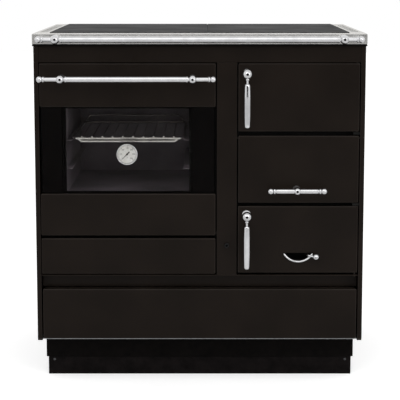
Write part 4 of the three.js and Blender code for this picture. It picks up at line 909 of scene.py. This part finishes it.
def make_rack():
    """Frame wire, bars with ball tips, a lower front wire and a raised stop at the back."""
    low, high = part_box("oven_rack")
    z = low.z + RACK_WIRE
    left, right = low.x + RACK_WIRE, high.x - RACK_WIRE
    front, back = low.y + RACK_WIRE, high.y - RACK_WIRE
    bm = bmesh.new()
    outline = []
    for x, y in rounded_rectangle((left, front), (right, back), RACK_CORNER):
        outline.append(Vector((x, y, z)))
    tube(bm, outline, [RACK_WIRE] * len(outline), Z_AXIS, 14)
    under = bent_wire(low, high, *UNDER_WIRE, front, z)
    tube(bm, under, [RACK_WIRE * 0.85] * len(under), Y_AXIS, 14)
    pitch = (right - left) / (RACK_BARS + 1)
    top = z + RACK_WIRE + RACK_BAR * 0.6
    for i in range(1, RACK_BARS + 1):
        tip = Vector((left + i * pitch, front - RACK_BAR_OVERHANG, top))
        rounded_rod(bm, tip, Vector((tip.x, high.y, top)), RACK_BAR, Z_AXIS)
        turn(bm, arc(0, RACK_BALL, 0, 180, 10), "y", tip, 16)
    stop = bent_wire(low, high, *BACK_STOP, back, z)
    tube(bm, stop, [RACK_BAR] * len(stop), Y_AXIS, 12)
    finish_piece("oven_rack_wires", bm, ["oven_rack"], sharp=60)


def make_seal():
    """Two twisted strands of rope round the oven mouth, flattened between door and plate."""
    low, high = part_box("oven_door_seal")
    middle_y = (low.y + high.y) / 2
    outline = []
    for x, z in rounded_rectangle((low.x + SEAL_INSET, low.z + SEAL_INSET),
                                  (high.x - SEAL_INSET, high.z - SEAL_INSET), SEAL_CORNER):
        outline.append(Vector((x, middle_y, z)))
    path = []
    for first, second in zip(outline, outline[1:]):
        count = max(1, round((second - first).length / SEAL_STEP))
        for i in range(count):
            path.append(first.lerp(second, i / count))
    turns = round(len(path) / SEAL_TURN)
    bm = bmesh.new()
    for strand in (0, 1):
        twisted = []
        for i in range(len(path) + 1):
            here = path[i % len(path)]
            ahead = path[(i + 1) % len(path)] - path[(i - 1) % len(path)]
            side = ahead.normalized().cross(Y_AXIS)
            angle = 2 * math.pi * turns * i / len(path) + strand * math.pi
            twisted.append(here + side * (SEAL_TWIST[0] * math.cos(angle))
                           + Y_AXIS * (SEAL_TWIST[1] * math.sin(angle)))
        tube(bm, twisted, [SEAL_STRAND] * len(twisted), Y_AXIS, 6, SEAL_FLATNESS)
    finish_piece("oven_door_rope", bm, ["oven_door_seal"], sharp=80)


# ---------- air regulator ----------

CRESCENT_BAR = 2.6 * MM
KNOB = 8.0
KNOB_REACH = 50 * MM       # from the disc's centre
KNOB_ANGLE = math.radians(-90 + 58)
STEM = 2.5 * MM
STEM_REACH = 33 * MM
STEM_ANGLE = math.radians(-90 + 45)
STEM_STANDOFF = 17 * MM    # in front of the door faces
STEM_BEND = 5 * MM


def round_place(centre, reach, angle, y):
    """A place at an angle round a centre, in the upright plane at y."""
    return Vector((centre.x + reach * math.cos(angle), y, centre.z + reach * math.sin(angle)))


def make_crescent(pivot):
    """The curved lip under the mouth, thinner at both ends."""
    low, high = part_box("air_regulator_lip")
    outer = pivot.z - low.z
    half = math.asin((high.x - low.x) / 2 / outer)
    y = (low.y + high.y) / 2
    path = []
    radii = []
    steps = 40
    for i in range(steps + 1):
        t = i / steps
        angle = -math.pi / 2 - half + 2 * half * t
        path.append(round_place(pivot, outer - CRESCENT_BAR * 0.85, angle, y))
        end = min(t, 1 - t) * steps
        radii.append(CRESCENT_BAR * min(1.0, 0.6 + 0.2 * end))
    bm = bmesh.new()
    tube(bm, path, radii, Y_AXIS, 18, 1.05)
    finish_piece("air_regulator_crescent", bm, ["air_regulator_lip"])


def make_damper(pivot):
    """The disc behind the mouth, on its short axle."""
    bm = bmesh.new()
    axle = rounded([(0, 4.8), (4, 4.8), (4, 22), (0, 22)], 0.4)
    turn(bm, axle, "y", Vector((pivot.x, FACE, pivot.z)), 32)
    damper_disc(bm, Vector((pivot.x, FACE + DISC_DEPTH, pivot.z)))
    finish_piece("air_regulator_disc", bm, ["air_regulator_damper"], material=BLACK_PAINT)


def make_knob(pivot):
    """The bent stem that comes out of the mouth, and its ball."""
    front = FACE - STEM_STANDOFF
    root = round_place(pivot, STEM_REACH, STEM_ANGLE, front)
    ball = round_place(pivot, KNOB_REACH, KNOB_ANGLE, front)
    bm = bmesh.new()
    turn(bm, arc(0, KNOB, 0, 180, 24), "y", ball, 40)
    tip = [(0, -KNOB - 0.9), (1.6, -KNOB - 0.9), (2.6, -KNOB + 0.4), (0, -KNOB + 0.4)]
    turn(bm, rounded(tip, 0.3), "y", ball, 24)
    outward = (ball - root).normalized()
    bend_start = root + Y_AXIS * STEM_BEND
    path = [Vector((root.x, FACE + 4 * MM, root.z)), bend_start.copy()]
    for i in range(1, 8):
        angle = math.pi / 2 * i / 8
        path.append(bend_start - Y_AXIS * (STEM_BEND * math.sin(angle))
                    + outward * (STEM_BEND * (1 - math.cos(angle))))
    path.append(root + outward * STEM_BEND)
    path.append(ball)
    tube(bm, path, [STEM] * len(path), outward.cross(Y_AXIS), 16)
    finish_piece("air_regulator_knob", bm, [], "chrome", "air_regulator")


def make_regulator():
    lip_low, lip_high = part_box("air_regulator_lip")
    damper_low, damper_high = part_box("air_regulator_damper")
    pivot = Vector(((lip_low.x + lip_high.x) / 2, 0, (damper_low.z + damper_high.z) / 2))
    make_crescent(pivot)
    make_damper(pivot)
    make_knob(pivot)


DISC_RINGS = (4, 14, 26, 39, 42, 45)       # radii of the damper disc
DISC_WINDOW_RINGS = (1, 3)                 # its air window lies between these rings
DISC_WINDOW_ANGLES = (-151, -54)
DISC_STEPS = 120
DISC_DEPTH = 3 * MM                        # behind the door faces
DISC_THICKNESS = 2 * MM


def damper_disc(bm, centre):
    """A flat disc with an air window, so that turning it opens or shuts the mouth."""
    rings = []
    for radius in DISC_RINGS:
        ring = []
        for i in range(DISC_STEPS):
            angle = 2 * math.pi * i / DISC_STEPS
            ring.append(bm.verts.new(round_place(centre, radius * MM, angle, centre.y)))
        rings.append(ring)
    faces = [bm.faces.new(rings[0])]
    for k in range(len(rings) - 1):
        for i in range(DISC_STEPS):
            angle = (360 * (i + 0.5) / DISC_STEPS + 180) % 360 - 180
            in_window = DISC_WINDOW_ANGLES[0] < angle < DISC_WINDOW_ANGLES[1]
            if in_window and DISC_WINDOW_RINGS[0] <= k < DISC_WINDOW_RINGS[1]:
                continue
            after = (i + 1) % DISC_STEPS
            faces.append(bm.faces.new([rings[k][i], rings[k][after],
                                       rings[k + 1][after], rings[k + 1][i]]))
    thicken(bm, faces, DISC_THICKNESS, keep=True)


# ---------- painted shade: dark inserts under the vent slots ---

VENT_SLOTS = 19
VENT_SLOT_PITCH = 21 * MM
VENT_SLOT_SIZE = (11.6 * MM, 5.6 * MM)
SHADE_INSERT_DEPTH = 0.4 * MM
SHADE_INSERT_THICKNESS = 0.8 * MM


def make_vent_shade_inserts(node):
    """Painted shade: a dark insert that closes each slot of a vent strip just under its face."""
    low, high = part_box(node)
    middle = (low + high) / 2
    top = high.z - SHADE_INSERT_DEPTH
    half = Vector((VENT_SLOT_SIZE[0] / 2, VENT_SLOT_SIZE[1] / 2, 0))
    bm = bmesh.new()
    for i in range(VENT_SLOTS):
        y = middle.y + (i - (VENT_SLOTS - 1) / 2) * VENT_SLOT_PITCH
        centre = Vector((middle.x, y, top))
        add_block(bm, centre - half - Z_AXIS * SHADE_INSERT_THICKNESS, centre + half, 0.2 * MM)
    finish_piece(node + "_shade_inserts", bm, [], "dark_steel", "casing")


# ---------- sheet-metal screws on the back ----------

BACK_SCREW_INSET = 9 * MM
BACK_SCREW_COLUMNS = 5     # spaces between screws along the top and bottom edges
BACK_SCREW_ROWS = 4        # and along the side edges
BACK_SCREW_SLOT = (2.2 * MM, 0.45 * MM)
PLINTH_SCREW_INSET = 15 * MM
PLINTH_SCREW_DROP = 8 * MM


def make_back_screws():
    """Cross-slotted screws round the edge of the back panel."""
    low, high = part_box("back_panel")
    left, right = low.x + BACK_SCREW_INSET, high.x - BACK_SCREW_INSET
    lowest, highest = low.z + BACK_SCREW_INSET, high.z - BACK_SCREW_INSET
    places = []
    for i in range(BACK_SCREW_COLUMNS + 1):
        x = left + (right - left) * i / BACK_SCREW_COLUMNS
        places += [(x, lowest), (x, highest)]
    for i in range(1, BACK_SCREW_ROWS):
        z = lowest + (highest - lowest) * i / BACK_SCREW_ROWS
        places += [(left, z), (right, z)]
    head = rounded([(0, 2.0), (2.0, 1.9), (3.6, 1.1), (4.0, 0), (0, 0)], 0.5)
    long, thin = BACK_SCREW_SLOT
    bm = bmesh.new()
    for x, z in places:
        turn(bm, head, "y", Vector((x, high.y, z)), 20)
        for across, up in ((long, thin), (thin, long)):
            add_block(bm, Vector((x - across, high.y + 1.5 * MM, z - up)),
                      Vector((x + across, high.y + 2.15 * MM, z + up)))
    finish_piece("back_panel_screws", bm, [], "galvanised", "casing")


def make_plinth_screws():
    low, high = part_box("lower_plinth")
    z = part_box("upper_plinth")[0].z - PLINTH_SCREW_DROP
    head = rounded([(0, -1.8), (1.8, -1.7), (3.0, -1.0), (3.4, 0), (0, 0)], 0.4)
    bm = bmesh.new()
    for x in (low.x + PLINTH_SCREW_INSET, high.x - PLINTH_SCREW_INSET):
        turn(bm, head, "y", Vector((x, low.y, z)), 20)
    # The screw heads take the lighter cast iron that paints highlights on rounded edges.
    finish_piece("plinth_screws", bm, [], "galvanised", "casing",
                 material=EDGE_HIGHLIGHT["cast_iron"])


# ---------- folded top edge of the wood drawer ----------

LIP_DEPTH = 31 * MM        # from the drawer's face
LIP_SHEET = 1.6 * MM
LIP_SIDE_GAP = 1 * MM
LIP_RISE = 1.9 * MM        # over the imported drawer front, just under the raised one


def make_drawer_lip():
    """The drawer front's top edge, folded back under the rail over it."""
    low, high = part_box("wood_drawer_front")
    top = high.z + LIP_RISE
    bm = bmesh.new()
    add_block(bm, Vector((low.x + LIP_SIDE_GAP, high.y - 1 * MM, top - LIP_SHEET)),
              Vector((high.x - LIP_SIDE_GAP, low.y + LIP_DEPTH, top)), 0.5 * MM, 3)
    # The lip takes the lighter recess enamel: painted light where it lies in shade.
    finish_piece("wood_drawer_lip", bm, [], "enamel", "wood_drawer", material=LIT_RECESS_ENAMEL)


# ---------- sheet and cast pieces with soft edges ----------

EDGE_WIDTHS = {            # millimetres
    "left_side_panel": 1.2, "right_side_panel": 1.2, "front_fascia": 0.7, "centre_pilaster": 0.8,
    "lower_cross_rail": 0.7, "top_trim": 0.8, "top_frame": 0.35, "vent_grille_left": 0.3,
    "vent_grille_right": 0.3, "hob_plate_left": 0.35, "hob_plate_right": 0.35,
    "upper_plinth": 1.0, "lower_plinth": 0.8, "oven_door_top_panel": 0.8,
    "oven_door_bottom_panel": 0.8, "fire_door_panel": 0.8, "stoking_flap_panel": 0.8,
    "ash_door_panel": 0.5, "soot_cover": 0.8, "wood_drawer_front": 0.8, "wood_drawer_box": 0.5,
    "oven_door_glass": 0.3, "oven_door_frame": 0.6, "fire_door_liner": 1.5,
    "stoking_flap_liner": 1.5, "ash_door_liner": 1.0, "oven_front_plate": 0.6, "oven_box": 0.8,
    "firebox_front_frame": 1.5, "firebrick_left": 1.8, "firebrick_right": 1.8,
    "firebrick_back": 1.8, "grate_carrier": 1.2, "fire_grate": 0.9, "riddling_grate": 0.9,
    "ash_pan": 0.5,
}


# ---------- floor, backdrop and light ----------

FLOOR_RADIUS = 14
FLOOR_LIFT = 0.52          # added to the floor's brightness where the camera sees it
FLOOR_LIFT_MIRRORED = 0.06     # and where metal or glass mirrors it
WORLD_LIGHT = 0.78
CURTAIN_DISTANCE = 4.3     # dark curtain behind the camera, which the front pieces mirror
CURTAIN_HALF_WIDTH = 2.6
CURTAIN_BOTTOM = 0.5
CURTAIN_TOP = 1.35
CURTAIN_FOLDS = 60
CURTAIN_FOLD_DEPTH = 0.05
CURTAIN_FOLD_TURN = 1.3    # of the wave, from one point to the next
LAMP_AIM = (0, 0, 0.5)
LAMPS = {                  # place, size and power
    "key_lamp": ((-0.5, -3.0, 2.5), (3.0, 1.6), 20),
    "fill_lamp": ((2.0, -2.6, 1.6), (1.2, 1.4), 12),
}


def stage_piece(name, bm, material):
    """A part of the studio, which is no part of the stove."""
    mesh = bpy.data.meshes.new(name)
    bm.to_mesh(mesh)
    bm.free()
    mesh.materials.append(material)
    obj = bpy.data.objects.new(name, mesh)
    bpy.context.collection.objects.link(obj)
    return obj


def make_floor():
    """A wide pale floor. It keeps the shadow, and camera rays see it a little brighter."""
    material = new_material("floor", (0.86, 0.86, 0.86), 0.9, specular=0.0)
    grain = ramp(material, noise_pattern(material, 3, 4), (0.85, 0.85, 0.85), (0.87, 0.87, 0.87))
    link(material, grain, shader_input(material, "Base Color"))
    path = add_node(material, "ShaderNodeLightPath")
    seen = add_node(material, "ShaderNodeMath", operation="MULTIPLY")
    seen.inputs[1].default_value = FLOOR_LIFT
    link(material, path.outputs["Is Camera Ray"], seen.inputs[0])
    mirrored = add_node(material, "ShaderNodeMath", operation="MULTIPLY_ADD")
    mirrored.inputs[1].default_value = FLOOR_LIFT_MIRRORED
    link(material, path.outputs["Is Glossy Ray"], mirrored.inputs[0])
    link(material, seen.outputs[0], mirrored.inputs[2])
    shader_input(material, "Emission Color").default_value = (1, 1, 1, 1)
    link(material, mirrored.outputs[0], shader_input(material, "Emission Strength"))
    bm = bmesh.new()
    bmesh.ops.create_circle(bm, cap_ends=True, radius=FLOOR_RADIUS, segments=96)
    stage_piece("floor", bm, material)


def make_curtain():
    """A dark curtain across the room in front, seen only in reflections."""
    material = new_material("curtain", (0.09, 0.09, 0.09), 0.9, specular=0.1)
    cloth = ramp(material, noise_pattern(material, 4, 3), (0.07, 0.07, 0.07), (0.11, 0.11, 0.11))
    link(material, cloth, shader_input(material, "Base Color"))
    bm = bmesh.new()
    rows = []
    for z in (CURTAIN_BOTTOM, CURTAIN_TOP):
        row = []
        for i in range(CURTAIN_FOLDS + 1):
            x = -CURTAIN_HALF_WIDTH + 2 * CURTAIN_HALF_WIDTH * i / CURTAIN_FOLDS
            y = FACE - CURTAIN_DISTANCE + CURTAIN_FOLD_DEPTH * math.sin(i * CURTAIN_FOLD_TURN)
            row.append(bm.verts.new((x, y, z)))
        rows.append(row)
    for i in range(CURTAIN_FOLDS):
        bm.faces.new([rows[0][i], rows[0][i + 1], rows[1][i + 1], rows[1][i]])
    curtain = stage_piece("curtain", bm, material)
    curtain.visible_camera = False


def make_world():
    """White for what the camera, metal and glass see; a soft plain level for all else."""
    world = bpy.data.worlds.new("world")
    bpy.context.scene.world = world
    world.use_nodes = True
    tree = world.node_tree
    background = tree.nodes["Background"]
    background.inputs["Color"].default_value = (1, 1, 1, 1)
    path = tree.nodes.new("ShaderNodeLightPath")
    seen = path.outputs["Is Camera Ray"]
    for kind in ("Is Glossy Ray", "Is Transmission Ray"):
        either = tree.nodes.new("ShaderNodeMath")
        either.operation = "MAXIMUM"
        tree.links.new(seen, either.inputs[0])
        tree.links.new(path.outputs[kind], either.inputs[1])
        seen = either.outputs[0]
    strength = tree.nodes.new("ShaderNodeMapRange")
    strength.inputs["To Min"].default_value = WORLD_LIGHT
    strength.inputs["To Max"].default_value = 1.0
    tree.links.new(seen, strength.inputs["Value"])
    tree.links.new(strength.outputs["Result"], background.inputs["Strength"])


def make_lamps():
    for name, (place, size, power) in LAMPS.items():
        data = bpy.data.lights.new(name, "AREA")
        data.shape = "RECTANGLE"
        data.size, data.size_y = size
        data.energy = power
        lamp = bpy.data.objects.new(name, data)
        lamp.location = place
        aim = Vector(LAMP_AIM) - Vector(place)
        lamp.rotation_euler = aim.to_track_quat("-Z", "Y").to_euler()
        bpy.context.collection.objects.link(lamp)


make_camera()
make_world()
make_floor()
make_curtain()
make_lamps()

for node, packed in frame["nodes"].items():
    packed.data.materials.clear()
    packed.data.materials.append(OWN_FINISH.get(node, MATERIALS[SLOT_OF[node]]))
for node, width in EDGE_WIDTHS.items():
    refine(node, width)

make_rail("top_rail", TOP_RAIL_BALL_INSET, 1)
make_rail("oven_door_handle", OVEN_HANDLE_BALL_INSET, 3)
make_flap_handle()
make_lever("fire_door_lever", 6)
make_lever("ash_door_lever", 7)
make_thermometer()
make_rack()
make_seal()
make_regulator()
make_back_screws()
make_plinth_screws()
make_drawer_lip()
make_vent_shade_inserts("vent_grille_left")
make_vent_shade_inserts("vent_grille_right")
